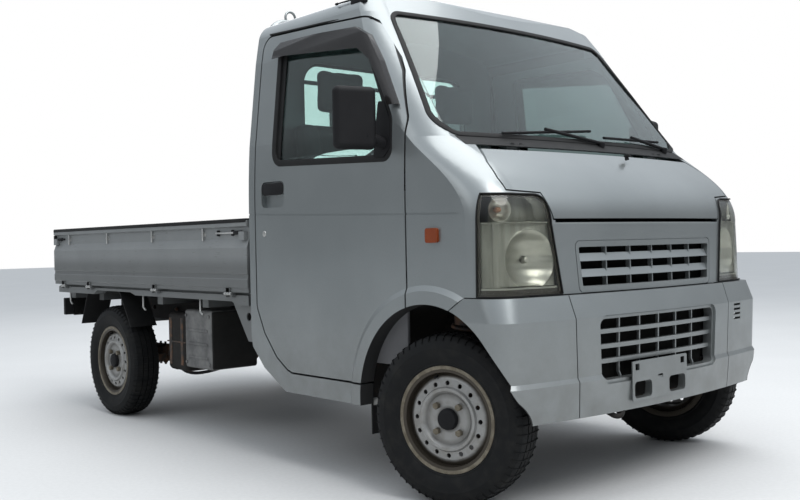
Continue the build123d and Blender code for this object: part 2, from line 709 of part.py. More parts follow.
# The lower arm is two bars from a plate on the rail to the ball under the strut.
ball_low = 190.0
ball_radius = 18.0
arm_height = 206.0
plate_thick = 12.0
plate_front = -20.0
plate_rear = 125.0
arm_plate = (rail_out, rail_out + plate_thick)
arm = bar((rail_out - 10, 10, 245), (king_x, 0, arm_height), 14)
arm = arm + bar((rail_out - 10, 110, 250), (king_x - 20, 10, arm_height), 10)
arm = arm - block((-rail_out, rail_out), (-100, 200), (0, 900))
arm = arm + rod("z", ball_radius, (king_x, 0, ball_low), ball_top - ball_low)
arm = arm + block(arm_plate, (plate_front, plate_rear), (225, rail_low))
arm_bridge = block((rail_in, rail_out + plate_thick), (50, plate_rear), (rail_low - 20, rail_low))
strut = rod("z", strut_radius, (king_x, 0, strut_low), 200) & well
front_set = both_sides(arm + arm_bridge) + both_sides(strut)

axle_y = wheelbase
axle_radius = 32.0
axle_half = drum_face - 120
gear_x = 40.0
gear_radius = 106.0
gear_half = 38.0
neck_radius = 78.0
neck_half = 80.0


def axle_housing(room):
    """Rear axle tube with its gear housing, grown by some room all round."""
    tube = rod("x", axle_radius + room, (-axle_half, axle_y, axle_height), 2 * axle_half)
    for radius, half in ((gear_radius, gear_half), (neck_radius, neck_half)):
        start = (gear_x - half - room, axle_y, axle_height)
        tube = tube + rod("x", radius + room, start, 2 * (half + room))
    return tube


drums = both_sides(rod("x", drum_radius, (axle_half, axle_y, axle_height), drum_face - axle_half))
rear_axle = axle_housing(0) + drums
axle_room = axle_housing(play)
spring_in = 425.0
spring_out = 475.0
leaf_line = [
    (1925, 400), (2100, 332), (2290, 300), (2410, 300), (2600, 332), (2790, 410),
    (2790, 432), (2600, 354), (2410, 322), (2290, 322), (2100, 354), (1925, 422),
]
helper_line = [(2120, 322), (2290, 286), (2410, 286), (2580, 322), (2410, 302), (2290, 302)]
seat_half = 40.0
clip_side = 6.0
leaf = slab("x", outline(leaf_line), spring_in, spring_out)
leaf = leaf + slab("x", outline(helper_line), spring_in, spring_out)
clip = (spring_in - clip_side, spring_out + clip_side)
leaf = leaf + block(clip, (axle_y - seat_half, axle_y + seat_half), (250, 335))
leaf = leaf + block((rail_out, spring_out), (1905, 1945), (400, 500))
leaf = leaf + block((rail_out, spring_out), (2772, 2808), (415, 500))
leaf = leaf - axle_room
shaft_radius = 27.0
shaft = bar((0, engine_rear - 10, 390), (gear_x, axle_y - 50, 285), shaft_radius)
shaft = shaft - block((-100, 100), (900, engine_rear), (rail_low, engine_top)) - axle_room
rear_set = rear_axle.solids() + both_sides(leaf).solids() + shaft.solids()
keep("suspension", Compound(front_set.solids() + rear_set))

pipe_x = 200.0
pipe_z = 365.0
pipe_radius = 20.0
muffler_y = 2700.0
muffler_z = 385.0
muffler_radius = 62.0
muffler = rod("x", muffler_radius, (-140, muffler_y, muffler_z), 400)
exhaust = rod("y", pipe_radius, (pipe_x, engine_rear, pipe_z), muffler_y - engine_rear) + muffler
exhaust = exhaust + bar((0, muffler_y, muffler_z), (120, 2925, 355), 18)
hanger = (40, 90)
exhaust = exhaust + block(hanger, (muffler_y - 10, muffler_y + 10), (muffler_z, 470))
exhaust = exhaust + block(hanger, (2480, muffler_y + 10), (462, 470))
keep("exhaust", exhaust)

tank_in = 395.0
tank_out = 640.0
tank_round = 25.0
tank = fillet(block((-tank_out, -tank_in), (1712, 1893), (262, 530)).edges(), tank_round)
for front, rear in ((1750, 1790), (1830, 1865)):
    tank = tank + block((-tank_in - 60, -rail_out), (front, rear), (480, 520))
air_round = 12.0
side_box = fillet(block((-655, -420), (1460, 1696), (290, 550)).edges(), air_round)
side_box = side_box + block((-480, -rail_out), (1550, 1600), (480, 540))
keep("fuel_tank", tank)
keep("air_box", side_box)

# Load bed: floor, sills, headboard with its hoop.
bed_top = 650.0
bed_plate = 18.0
bed_front = 1062.0
bed_edge = 694.0
gate_wall = 32.0
gate_skin = 732.0
gate_in = gate_skin - gate_wall
gate_low = 645.0
gate_high = 935.0
gate_front = 1040.0
gate_rear = 2997.0
tail_in = gate_rear - gate_wall
hinge_set = 0.5
hinge_radius = 5.0
hinge_z = 638.0
hinge_pin = 2.4
hinge_bore = 2.8
hinge_long = 30.0
hinge_lug = 14.0
hinge_gap = 1.0
sill_out = 715.0
sill_in = 655.0
sill_low = 600.0
bed_end = tail_in - 6
floor_plate = block((-bed_edge, bed_edge), (bed_front, bed_end), (bed_top - bed_plate, bed_top))
floor_grooves = 6
groove_pitch = 105.0
rib_wide = 34.0
rib_deep = 4.0
for index in range(floor_grooves):
    x = 60.0 + index * groove_pitch
    rib = block((x, x + rib_wide), (bed_front + 60, bed_end - 60), (bed_top - rib_deep, bed_top))
    floor_plate = floor_plate - both_sides(rib)
sill_arch = 620.0
bed_under = bed_top - bed_plate
sill_line = [
    (bed_front, bed_under), (bed_front, 592), (1150, 592), (1190, 606), (2060, 606), (2115, sill_arch),
    (2490, sill_arch), (2530, sill_low), (bed_end, sill_low), (bed_end, bed_under),
]
sills = both_sides(slab("x", outline(sill_line), sill_in, sill_out))
# A holed gusset plate stands under each sill behind the cab.
gusset_line = [(bed_front, 595), (1222, 610), (1104, 445), (bed_front, 445)]
gusset_x = 686.0
gusset_wall = 6.0
gusset_hole = 17.0
gusset = slab("x", outline(gusset_line), gusset_x, gusset_x + gusset_wall)
gusset = gusset - rod("x", gusset_hole, (gusset_x - 1, 1098, 545), gusset_wall + 2)
sills = sills + both_sides(gusset)
cross_sills = [(1075, 1130), (1480, 1530), (1900, 1950), (2545, 2595), (2900, bed_end)]
beams = joined([block((-sill_in, sill_in), row, (rail_rear_top, bed_under)) for row in cross_sills])
hinge_stations = [1189, 1834, 2554, 2878]
tail_stations = [-560, -190, 190, 560]
pivot = gate_skin + hinge_set


def side_lugs(station):
    """Two fixed lugs and the pin of one side gate hinge, left side."""
    start = station - hinge_long / 2 - hinge_gap - hinge_lug
    reach = hinge_long + 2 * hinge_gap + 2 * hinge_lug
    lugs = rod("y", hinge_radius, (pivot, start, hinge_z), hinge_lug)
    lugs = lugs + rod("y", hinge_radius, (pivot, start + reach - hinge_lug, hinge_z), hinge_lug)
    for low in (start, start + reach - hinge_lug):
        lugs = lugs + block((sill_out - 4, pivot), (low, low + hinge_lug), (hinge_z - 14, hinge_z - 3))
    return lugs + rod("y", hinge_pin, (pivot, start, hinge_z), reach)


def gate_knuckle(station):
    """Moving half of one side gate hinge, left side."""
    start = station - hinge_long / 2
    knuckle = rod("y", hinge_radius, (pivot, start, hinge_z), hinge_long)
    strap = block((gate_skin - 5, pivot + 2), (start, start + hinge_long), (hinge_z, gate_low + 20))
    return (knuckle + strap) - rod("y", hinge_bore, (pivot, station - hinge_long, hinge_z), 2 * hinge_long)


def onto_tail(shape):
    """Turns a side gate piece about Z so that it serves the tailgate."""
    return Pos(0, gate_rear - gate_skin, 0) * Rot(0, 0, 90) * shape


side_hinges = both_sides(joined([side_lugs(station) for station in hinge_stations]))
tail_hinges = onto_tail(joined([side_lugs(-x) for x in tail_stations]))
beam_end = gate_rear - gate_skin + sill_out
end_beam = block((-sill_out, sill_out), (bed_end - 30, beam_end), (sill_low, bed_under))
bed_floor = floor_plate + sills + beams + end_beam + side_hinges + tail_hinges
keep("bed_floor", bed_floor)

board_high = 935.0
board_half = 693.0
headboard = block((-board_half, board_half), (gate_front, bed_front), (bed_under, board_high))
hoop_half = 600.0
hoop_top = 1745.0
hoop_radius = 14.0
hoop_y = (gate_front + bed_front) / 2
hoop_low = board_high - 5
hoop_bend = 90.0
rung_heights = [1090, 1300, 1510]
rung_radius = 9.0
eye_x = 490.0
eye_ring = 24.0
eye_wire = 5.0
hoop_points = [(-hoop_half, hoop_low), (-hoop_half, hoop_top), (hoop_half, hoop_top), (hoop_half, hoop_low)]
hoop_line = FilletPolyline(*hoop_points, radius=hoop_bend)
hoop_path = Plane(origin=(0, hoop_y, 0), x_dir=(1, 0, 0), z_dir=(0, -1, 0)) * hoop_line
hoop = sweep(Plane((-hoop_half, hoop_y, hoop_low)) * Circle(hoop_radius), path=hoop_path)
headboard = headboard + hoop
for z in rung_heights:
    headboard = headboard + rod("x", rung_radius, (-hoop_half, hoop_y, z), 2 * hoop_half)
for x in (-eye_x, eye_x):
    headboard = headboard + Pos(x, hoop_y, hoop_top + eye_ring) * Rot(90, 0, 0) * Torus(eye_ring, eye_wire)
keep("headboard", headboard)

# Gates: one pressed section, drawn for the left side, then the tailgate.
channel_face = gate_skin - 13
press_line = gate_skin - 4
gate_line = [
    (gate_in, gate_low), (press_line, gate_low), (press_line, 660), (gate_skin, 665), (gate_skin, 697),
    (gate_skin - 3, 701), (press_line, 716), (gate_skin, 721), (gate_skin, 825), (channel_face, 861),
    (channel_face, 907), (gate_skin, 911), (gate_skin, 930), (gate_skin - 3, gate_high),
    (gate_in + 3, gate_high), (gate_in, 931),
]
latch_x = (channel_face, half_width - 0.5)
latch_z = (856, 890)
latch_long = 40.0
latch_inset = 12.0


def gate_panel(front, rear, stations):
    """One gate between two stations, with its hinge knuckles and latch blocks."""
    gate = slab("y", outline(gate_line), front, rear)
    gate = gate + joined([gate_knuckle(station) for station in stations])
    for start in (front + latch_inset, rear - latch_inset - latch_long):
        gate = gate + block(latch_x, (start, start + latch_long), latch_z)
    return gate


gate = gate_panel(gate_front, gate_rear, hinge_stations)
keep("gate_left", gate)
keep("gate_right", mirror(gate, Plane.YZ))
corner_gap = 7.0
tail_half = gate_in - corner_gap
keep("tailgate", onto_tail(gate_panel(-tail_half, tail_half, [-x for x in tail_stations])))

# Lamps, guards and small pieces.
lamp_y = 2950.0
rear_lamp = block((520, 690), (lamp_y, lamp_y + 32), (480, 560))
rear_lamp = rear_lamp + block((560, 650), (lamp_y - 10, lamp_y), (470, rail_rear_top))
keep("rear_lamps", both_sides(rear_lamp))
marker = fillet(block((side_half, side_half + 9), (-62, -7), (830, 876)).edges().filter_by(Axis.X), 8)
keep("marker_lamps", both_sides(marker))
flap_wall = 6.0
flap_in = 575.0
flap_out = 712.0
rear_flap_top = 2612.0
rear_flap_foot = (2694.0, 440.0)
lead_flap_top = 2236.0
lead_flap_foot = (2120.0, 450.0)
front_flap = block((560, 676), (well_radius, well_radius + flap_wall), (170, arch_height))


def hung_flap(top, height, foot):
    """Rubber guard that hangs from a station and height down to its foot."""
    line = [(top, height), (top + flap_wall, height), (foot[0] + flap_wall, foot[1]), foot]
    return slab("x", outline(line), flap_in, flap_out)


rear_flap = hung_flap(rear_flap_top, sill_low, rear_flap_foot)
lead_flap = hung_flap(lead_flap_top, sill_arch, lead_flap_foot)
keep("mudguards", both_sides(front_flap + rear_flap + lead_flap))
# Number plate holders: the front one has two openings that go on through the
# bumper, a slot and two square bolt holes, and the rear one has round holes.
plate_wall = 4.0
plate_x = -38.0
plate_half = 157.0
plate_low = 304.0
plate_high = 433.0
plate_bolt = 3.5
plate_spread = 105.0
window_x = 98.0
window_half = 48.0
window_z = (312.0, 366.0)
window_round = 14.0
clip_x = 130.0
clip_half = 11.0
clip_z = (403.0, 424.0)
plate_front = -front_overhang
plate_reach = (plate_x - plate_half, plate_x + plate_half)
front_plate = block(plate_reach, (plate_front, plate_front + plate_wall), (plate_low, plate_high))
front_plate = fillet(front_plate.edges().filter_by(Axis.Y), 6)
for side in (-1, 1):
    x = plate_x + side * window_x
    window = block((x - window_half, x + window_half), (-500, -330), window_z)
    window = fillet(window.edges().filter_by(Axis.Y), window_round)
    front_plate = front_plate - window
    made["bumper"] = made["bumper"] - window
    x = plate_x + side * clip_x
    front_plate = front_plate - block((x - clip_half, x + clip_half), (-500, -330), clip_z)
front_plate = front_plate - block((plate_x - 14, plate_x + 14), (-500, -330), (367, 379))
rear_plate = block((-170, 170), (lamp_y + 20, lamp_y + 25), (400, 565))
rear_plate = rear_plate + block((-100, 100), (lamp_y + 10, lamp_y + 20), (540, sill_low))
for x in (-plate_spread, plate_spread):
    rear_plate = rear_plate - rod("y", plate_bolt, (x, lamp_y + 15, 550), 12)
made["bumper"] = made["bumper"] + front_plate
made["bed_floor"] = made["bed_floor"] + rear_plate


def screen_station(x, z, lift):
    """Station of the windscreen's face at a width and height, moved out by lift."""
    low, high = greenhouse[0], greenhouse[1]
    slope = (high[2] - low[2]) / (high[0] - low[0])
    return low[2] + (low[4] - low[2]) * (x / low[3]) ** 2 + slope * (z - nose_top) - lift


# Wipers: pivot, arm end, blade start and blade end as width and height.
wiper_table = [
    ((60, 1176), (-210, 1215), (-430, 1188), (40, 1222)),
    ((510, 1180), (300, 1214), (100, 1200), (500, 1208)),
]
wiper_lift = 16.0
wipers = []
for row in wiper_table:
    ends = [(x, screen_station(x, z, wiper_lift), z) for x, z in row]
    post = rod("z", 9, (ends[0][0], ends[0][1], 1150), 30) - cab_outer
    wipers.append(post + bar(ends[0], ends[1], 6) + bar(ends[2], ends[3], 5))
keep("wipers", joined(wipers) - cab_outer)

# Wheels. The section is drawn outwards from the wheel's middle plane.
flange = 170.0
rim_line = [
    (-57, flange), (-52, flange), (-51, 155), (-30, 153), (-20, 137), (18, 137), (28, 153), (51, 155),
    (52, flange), (57, flange),
    (57, 158), (55, 150), (33, 147), (43, 128), (46, 104), (53, 99), (53, 90), (42, 79), (42, 28),
    (disc_back, 28), (disc_back, 81), (48, 92), (48, 97), (41, 103), (38, 126), (27, 146), (22, 131),
    (-23, 131), (-33, 147), (-55, 150), (-57, 158),
]
hole_count = 16
hole_ring = 115.0
hole_radius = 7.5
nut_count = 4
nut_ring = 57.15
nut_radius = 9.5
rim = revolve(Plane.XY * outline(rim_line), axis=Axis.X)
hole = rod("x", hole_radius, (30, 0, hole_ring), 30)
rim = rim - [Rot(turn * 360 / hole_count, 0, 0) * hole for turn in range(hole_count)]
nut = rod("x", nut_radius, (disc_back + 2, 0, nut_ring), 16)
for index in range(nut_count):
    rim = rim + Rot(45 + index * 360 / nut_count, 0, 0) * nut
cap_radius = 30.0
rim = rim + rod("x", cap_radius, (disc_back, 0, 0), 19)
tread_half = 54.0
bead_half = 60.0
bulge_radius = 238.0
bead_radius = flange + 0.2
tyre_radius = tyre_diameter / 2
tyre_half = tyre_width / 2
tyre_line = [
    (-tread_half, tyre_radius), (tread_half, tyre_radius), (tyre_half, bulge_radius),
    (bead_half, bead_radius), (-bead_half, bead_radius), (-tyre_half, bulge_radius),
]
tyre = revolve(Plane.XY * outline(tyre_line), axis=Axis.X)
upright = rod("z", king_radius, (king_x, 0, ball_top + play), strut_low - ball_top - 2 * play)
spindle = rod("x", drum_radius, (wheel_x - 45, 0, axle_height), drum_face - wheel_x + 45)
spindle = spindle + block((king_x - 10, wheel_x - 40), (-45, 45), (axle_height - 30, axle_height + 60))
knuckle = upright + spindle


def steered(shape, side):
    """The piece turned with the road wheels, on the left (1) or right (-1)."""
    return Pos(side * king_x, 0, 0) * Rot(0, 0, steer_at_rest) * Pos(-side * king_x, 0, 0) * shape


for side, name in ((1, "left"), (-1, "right")):
    keep("knuckle_" + name, steered(knuckle if side > 0 else mirror(knuckle, Plane.YZ), side))
    for piece, label in ((rim, "rim"), (tyre, "tyre")):
        half_turn = Rot(0, 0, 90 - 90 * side)
        front = Pos(side * wheel_x, 0, axle_height) * half_turn * piece
        keep(label + "_front_" + name, steered(front, side))
        keep(label + "_rear_" + name, Pos(side * wheel_x, wheelbase, axle_height) * half_turn * piece)

for name, shape in made.items():
    print(name, len(shape.solids()), round(shape.volume / 1e6, 2), shape.is_valid)
    export_step(shape.moved(Pos(0, front_axle_y, 0)), f"parts/{name}.step")
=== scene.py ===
# A small flat-bed truck, parked with its front wheels turned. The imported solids
# are its fixed frame, and the sections below finish them in the order in which
# the truck goes together.
import math
import bmesh
import bpy
from mathutils import Matrix, Vector


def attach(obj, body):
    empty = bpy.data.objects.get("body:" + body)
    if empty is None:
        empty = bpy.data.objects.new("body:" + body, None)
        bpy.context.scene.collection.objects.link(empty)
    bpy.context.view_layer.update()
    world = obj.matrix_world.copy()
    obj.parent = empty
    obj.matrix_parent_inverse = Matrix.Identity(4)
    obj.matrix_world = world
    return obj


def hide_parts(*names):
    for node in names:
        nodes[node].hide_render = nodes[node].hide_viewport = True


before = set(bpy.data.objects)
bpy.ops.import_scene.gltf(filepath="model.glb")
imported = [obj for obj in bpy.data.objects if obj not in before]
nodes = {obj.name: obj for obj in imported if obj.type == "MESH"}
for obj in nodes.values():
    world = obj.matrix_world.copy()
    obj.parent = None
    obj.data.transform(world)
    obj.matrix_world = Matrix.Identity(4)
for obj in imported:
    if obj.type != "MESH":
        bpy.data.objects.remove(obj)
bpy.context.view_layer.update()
# Stations are measured back from the front axle, which lies here on the frame's Y.
axle_y = -1.305

# Standing place: pale paving, wide sky light and four large soft lamps. The
# camera stands off the right front corner, at waist height.
camera_data = bpy.data.cameras.new("camera")
camera_data.lens = 43.39
camera = bpy.data.objects.new("camera", camera_data)
to_right = Vector((0.75090632, -0.66007657, -0.02094315))
to_top = Vector((0.02129284, -0.00749745, 0.99974517))
ahead = Vector((0.66006538, 0.75116091, -0.00842502))
turn = Matrix((to_right, to_top, -ahead)).transposed().to_4x4()
camera.matrix_world = Matrix.Translation((-2.800, -3.539, 0.835)) @ turn
bpy.context.scene.collection.objects.link(camera)
bpy.context.scene.camera = camera
bpy.context.scene.view_settings.view_transform = "Standard"


class Signal:
    """A shader socket that takes part in sums as a number would."""

    def __init__(self, tree, socket=None):
        self.tree = tree
        self.socket = socket

    def node(self, kind, settings=None, sockets=None, out=0):
        made = self.tree.nodes.new("ShaderNode" + kind)
        for name, value in (settings or {}).items():
            if name == "stops":
                ramp = made.color_ramp.elements
                while len(ramp) < len(value):
                    ramp.new(1.0)
                for stop, (place, colour) in zip(ramp, value):
                    stop.position = place
                    stop.color = (*colour, 1.0)
            else:
                setattr(made, name, value)
        for name, value in (sockets or {}).items():
            if isinstance(value, Signal):
                self.tree.links.new(value.socket, made.inputs[name])
            else:
                made.inputs[name].default_value = value
        return Signal(self.tree, made.outputs[out] if made.outputs else None)

    def reckon(self, operation, first, second):
        return self.node("Math", {"operation": operation}, {0: first, 1: second})

    def __add__(self, other):
        return self.reckon("ADD", self, other)

    __radd__ = __add__

    def __sub__(self, other):
        return self.reckon("SUBTRACT", self, other)

    def __rsub__(self, other):
        return self.reckon("SUBTRACT", other, self)

    def __mul__(self, other):
        return self.reckon("MULTIPLY", self, other)

    __rmul__ = __mul__

    def __lt__(self, other):
        return self.reckon("LESS_THAN", self, other)

    def __gt__(self, other):
        return self.reckon("GREATER_THAN", self, other)

    def most(self, other):
        return self.reckon("MAXIMUM", self, other)

    def size(self):
        return self.node("Math", {"operation": "ABSOLUTE"}, {0: self})

    def root(self):
        return self.node("Math", {"operation": "SQRT"}, {0: self})

    def ripple(self, rate):
        return self.node("Math", {"operation": "SINE"}, {0: self * rate})

    def between(self, low, high):
        """0 below low and 1 above high, with a smooth step."""
        sockets = {"Value": self, "From Min": low, "From Max": high}
        return self.node("MapRange", {"interpolation_type": "SMOOTHSTEP"}, sockets)

    def blend(self, first, second):
        """First colour where the signal is 0, second where it is 1."""
        pair = [c if isinstance(c, Signal) else (*c, 1.0) for c in (first, second)]
        return self.node("Mix", {"data_type": "RGBA"}, {0: self, 6: pair[0], 7: pair[1]}, out=2)


def finish_of(name):
    """A new material: the material, its place signal and its three axes."""
    material = bpy.data.materials.new(name)
    material.use_nodes = True
    tree = material.node_tree
    tree.nodes.clear()
    place = Signal(tree).node("TexCoord", out=3)
    axes = [place.node("SeparateXYZ", sockets={0: place}, out=index) for index in range(3)]
    return material, place, axes


def grain(place, scale, detail=4.0, rough=0.55, stretch=None):
    """Noise on the piece's own place, from 0 to 1, at so many lumps a metre."""
    if stretch:
        place = place.node("Mapping", sockets={"Vector": place, "Scale": stretch})
    sockets = {"Vector": place, "Scale": scale, "Detail": detail, "Roughness": rough}
    return place.node("TexNoise", sockets=sockets)


def close(place, bump=None, depth=0.001, strength=0.4, **sockets):
    """Ends a material in its one surface shader."""
    surface = {name.replace("_", " "): value for name, value in sockets.items()}
    if bump is not None:
        relief = {"Strength": strength, "Distance": depth, "Height": bump}
        surface["Normal"] = place.node("Bump", sockets=relief)
    shader = place.node("BsdfPrincipled", sockets=surface)
    place.node("OutputMaterial", sockets={"Surface": shader})


paving, place, axes = finish_of("paving")
speck = grain(place, 60.0, 8.0)
patch = grain(place, 1.3, 3.0)
tone = (speck * 0.65 + patch * 0.35).between(0.3, 0.7).blend((0.545, 0.545, 0.54), (0.585, 0.585, 0.58))
close(place, bump=speck, depth=0.001, Base_Color=tone, Roughness=0.85)
ground = bmesh.new()
bmesh.ops.create_grid(ground, x_segments=2, y_segments=2, size=40.0)
ground_mesh = bpy.data.meshes.new("ground")
ground.to_mesh(ground_mesh)
ground.free()
ground_mesh.materials.append(paving)
floor = bpy.data.objects.new("ground", ground_mesh)
bpy.context.scene.collection.objects.link(floor)

sky = bpy.data.worlds.new("sky")
sky.use_nodes = True
sky.node_tree.nodes.clear()
start = Signal(sky.node_tree)
height = start.node("SeparateXYZ", sockets={0: start.node("TexCoord", out=0)}, out=2)
light = height.between(-0.05, 0.75).blend((0.20, 0.212, 0.222), (0.95, 1.02, 1.10))
bounced = start.node("LightPath", out=9) > 0.5
seen = start.node("LightPath", out=0) + start.node("LightPath", out=6) * (1.0 - bounced)
colour = seen.blend(light, (1.0, 1.0, 1.0))
lit = start.node("Background", sockets={"Color": colour, "Strength": 1.0})
start.node("OutputWorld", sockets={"Surface": lit})
bpy.context.scene.world = sky

# name, place, what it points at, size and watts
lamp_table = [
    ("lamp_ahead", (-0.4, -5.4, 6.0), (0.0, -1.0, 0.8), 4.5, 270.0),
    ("lamp_right", (-6.5, 0.5, 4.2), (-0.5, 0.0, 0.7), 4.0, 34.0),
    ("lamp_above", (0.5, -0.5, 7.0), (0.0, 0.0, 0.0), 6.0, 260.0),
    ("lamp_behind", (4.5, 5.5, 4.0), (0.0, 1.0, 0.7), 4.0, 70.0),
]
for name, stand, target, size, power in lamp_table:
    data = bpy.data.lights.new(name, "AREA")
    data.shape = "DISK"
    data.size = size
    data.energy = power
    lamp = bpy.data.objects.new(name, data)
    lamp.location = stand
    lamp.rotation_euler = (Vector(target) - Vector(stand)).to_track_quat("-Z", "Y").to_euler()
    bpy.context.scene.collection.objects.link(lamp)

# Ladder frame: two pressed rails with crossmembers, brush-painted black and
# peppered with road grime, and the bolts that hold the cab and bed to it.
def dress(finish, *names):
    """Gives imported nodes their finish."""
    for name in names:
        nodes[name].data.materials.clear()
        nodes[name].data.materials.append(finish)


same_spot = 1e-5


def settle(name, form, finish, body, crease=35.0):
    """Makes a bmesh a piece that rides on a body, smooth but for its edges."""
    bmesh.ops.remove_doubles(form, verts=form.verts, dist=same_spot)
    bmesh.ops.recalc_face_normals(form, faces=form.faces)
    bmesh.ops.translate(form, vec=(0.0, axle_y, 0.0), verts=form.verts)
    mesh = bpy.data.meshes.new(name)
    form.to_mesh(mesh)
    form.free()
    mesh.materials.append(finish)
    mesh.shade_smooth()
    mesh.set_sharp_from_angle(angle=math.radians(crease))
    piece = bpy.data.objects.new(name, mesh)
    bpy.context.scene.collection.objects.link(piece)
    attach(piece, body)
    return piece


def settle_pair(name, form, finish, body):
    """The left piece and its mirror image, each on the body of its own side."""
    other = form.copy()
    bmesh.ops.scale(other, vec=(-1.0, 1.0, 1.0), verts=other.verts)
    settle(name + "_left", form, finish, body.replace("SIDE", "left"))
    settle(name + "_right", other, finish, body.replace("SIDE", "right"))


def ease(form, edges, width, steps=2):
    """Rounds edges over a width."""
    bmesh.ops.bevel(
        form, geom=edges, offset=width, affect="EDGES", segments=steps, profile=0.5, material=-1
    )


def add_block(form, low, high, edge=0.0, turn=None):
    """A box between two corners, its edges rounded, turned by a matrix if given."""
    made = bmesh.ops.create_cube(form, size=1.0)["verts"]
    bmesh.ops.scale(form, vec=[b - a for a, b in zip(low, high)], verts=made)
    bmesh.ops.translate(form, vec=[(a + b) / 2 for a, b in zip(low, high)], verts=made)
    if turn is not None:
        bmesh.ops.transform(form, matrix=turn, verts=made)
    if edge:
        ease(form, list({link for vert in made for link in vert.link_edges}), edge)


def add_rod(form, start, end, radius, sides=16, tip=None, edge=0.0):
    """A round or many-sided rod between two points, its end edges rounded."""
    start, end = Vector(start), Vector(end)
    way = end - start
    place = Matrix.Translation((start + end) / 2) @ way.to_track_quat("Z", "Y").to_matrix().to_4x4()
    made = bmesh.ops.create_cone(
        form, cap_ends=True, segments=sides, radius1=radius, radius2=radius if tip is None else tip,
        depth=way.length, matrix=place,
    )["verts"]
    if edge:
        caps = {face for vert in made for face in vert.link_faces if len(face.verts) == sides}
        ease(form, list({link for face in caps for link in face.edges}), edge)


chassis_black, place, axes = finish_of("chassis_black_paint")
grime = grain(place, 18.0, 8.0, 0.65)
rust = grain(place, 30.0, 9.0, 0.7).between(0.58, 0.72)
shade = grime.blend((0.006, 0.006, 0.006), (0.030, 0.028, 0.026))
shade = (rust * 0.6).blend(shade, (0.10, 0.055, 0.03))
close(
    place, bump=grime, depth=0.002, strength=0.4, Base_Color=shade, Roughness=0.7 + rust * 0.2,
    Specular_IOR_Level=0.15,
)
dress(chassis_black, "frame")

iron, place, axes = finish_of("rusty_iron")
pit = grain(place, 120.0, 8.0, 0.7)
scale_rust = grain(place, 22.0, 8.0, 0.65).between(0.4, 0.68)
shade = scale_rust.blend((0.045, 0.042, 0.04), (0.15, 0.08, 0.045))
close(place, bump=pit, depth=0.001, strength=0.6, Base_Color=shade, Metallic=0.35, Roughness=0.75)

bolts = bmesh.new()
for station in (1.22, 1.50, 1.72, 2.05, 2.30, 2.55, 2.86):
    add_rod(bolts, (0.365, station, 0.51), (0.374, station, 0.51), 0.011, 6, edge=0.0015)
    add_rod(bolts, (0.374, station, 0.51), (0.379, station, 0.51), 0.006, 10)
settle_pair("frame_bolts", bolts, iron, "chassis")

# Axles, springs and struts: forged and rolled iron, rusted dull brown, with
# coil springs over the front struts and two-eyed leaf packs at the rear.
def bend(name, points, radius, finish, body, soft=False):
    """A round bar, pipe or seal that follows points."""
    curve = bpy.data.curves.new(name, "CURVE")
    curve.dimensions = "3D"
    curve.bevel_depth = radius
    curve.bevel_resolution = 3
    curve.use_fill_caps = True
    line = curve.splines.new("NURBS" if soft else "POLY")
    line.points.add(len(points) - 1)
    for spot, point in zip(line.points, points):
        spot.co = (point[0], point[1] + axle_y, point[2], 1.0)
    if soft:
        line.order_u = 3
        line.use_endpoint_u = True
    line.use_smooth = True
    curve.materials.append(finish)
    piece = bpy.data.objects.new(name, curve)
    bpy.context.scene.collection.objects.link(piece)
    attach(piece, body)


def bend_pair(name, points, radius, finish, body, soft=False):
    """The left bar and its mirror image, each on the body of its own side."""
    for side, label in ((1, "left"), (-1, "right")):
        own = [(side * x, y, z) for x, y, z in points]
        bend(f"{name}_{label}", own, radius, finish, body.replace("SIDE", label), soft)


dress(iron, "suspension", "knuckle_left", "knuckle_right")
king_pin_x = 0.545
coil_radius = 0.052
coil = []
for turn in range(41):
    x = king_pin_x + coil_radius * math.cos(turn * 0.5)
    coil.append((x, coil_radius * math.sin(turn * 0.5), 0.418 + 0.0035 * turn))
bend_pair("coil_spring", coil, 0.006, iron, "knuckle_SIDE")
leaves = bmesh.new()
for station in (2.21, 2.49):
    add_block(leaves, (0.421, station - 0.015, 0.292), (0.479, station + 0.015, 0.344), 0.003)
for station in (2.325, 2.375):
    for x in (0.425, 0.475):
        add_rod(leaves, (x, station, 0.228), (x, station, 0.345), 0.006, 10)
        add_rod(leaves, (x, station, 0.236), (x, station, 0.250), 0.011, 6)
for station, height in ((1.925, 0.411), (2.790, 0.421)):
    add_rod(leaves, (0.418, station, height), (0.482, station, height), 0.021, 20, edge=0.002)
add_rod(leaves, (0.400, 2.30, 0.300), (0.386, 2.12, 0.50), 0.019, 18, edge=0.003)
add_rod(leaves, (0.402, 2.33, 0.262), (0.390, 2.17, 0.44), 0.025, 18, edge=0.003)
settle_pair("spring_fittings", leaves, iron, "chassis")

# Engine, gearbox and exhaust: cast alloy and heat-stained steel under the seat
# box, with ribbed sump, clamps and a silencer seam.
def add_turned(form, profile, place, steps=48):
    """Spins (along, out) points round X into a shell, then moves it to its place."""
    before = set(form.verts)
    line = [form.verts.new((along, 0.0, out)) for along, out in profile]
    edges = [form.edges.new(pair) for pair in zip(line, line[1:])]
    bmesh.ops.spin(
        form, geom=line + edges, cent=(0, 0, 0), axis=(1, 0, 0), angle=math.tau, steps=steps, use_merge=True
    )
    bmesh.ops.transform(form, matrix=place, verts=[vert for vert in form.verts if vert not in before])


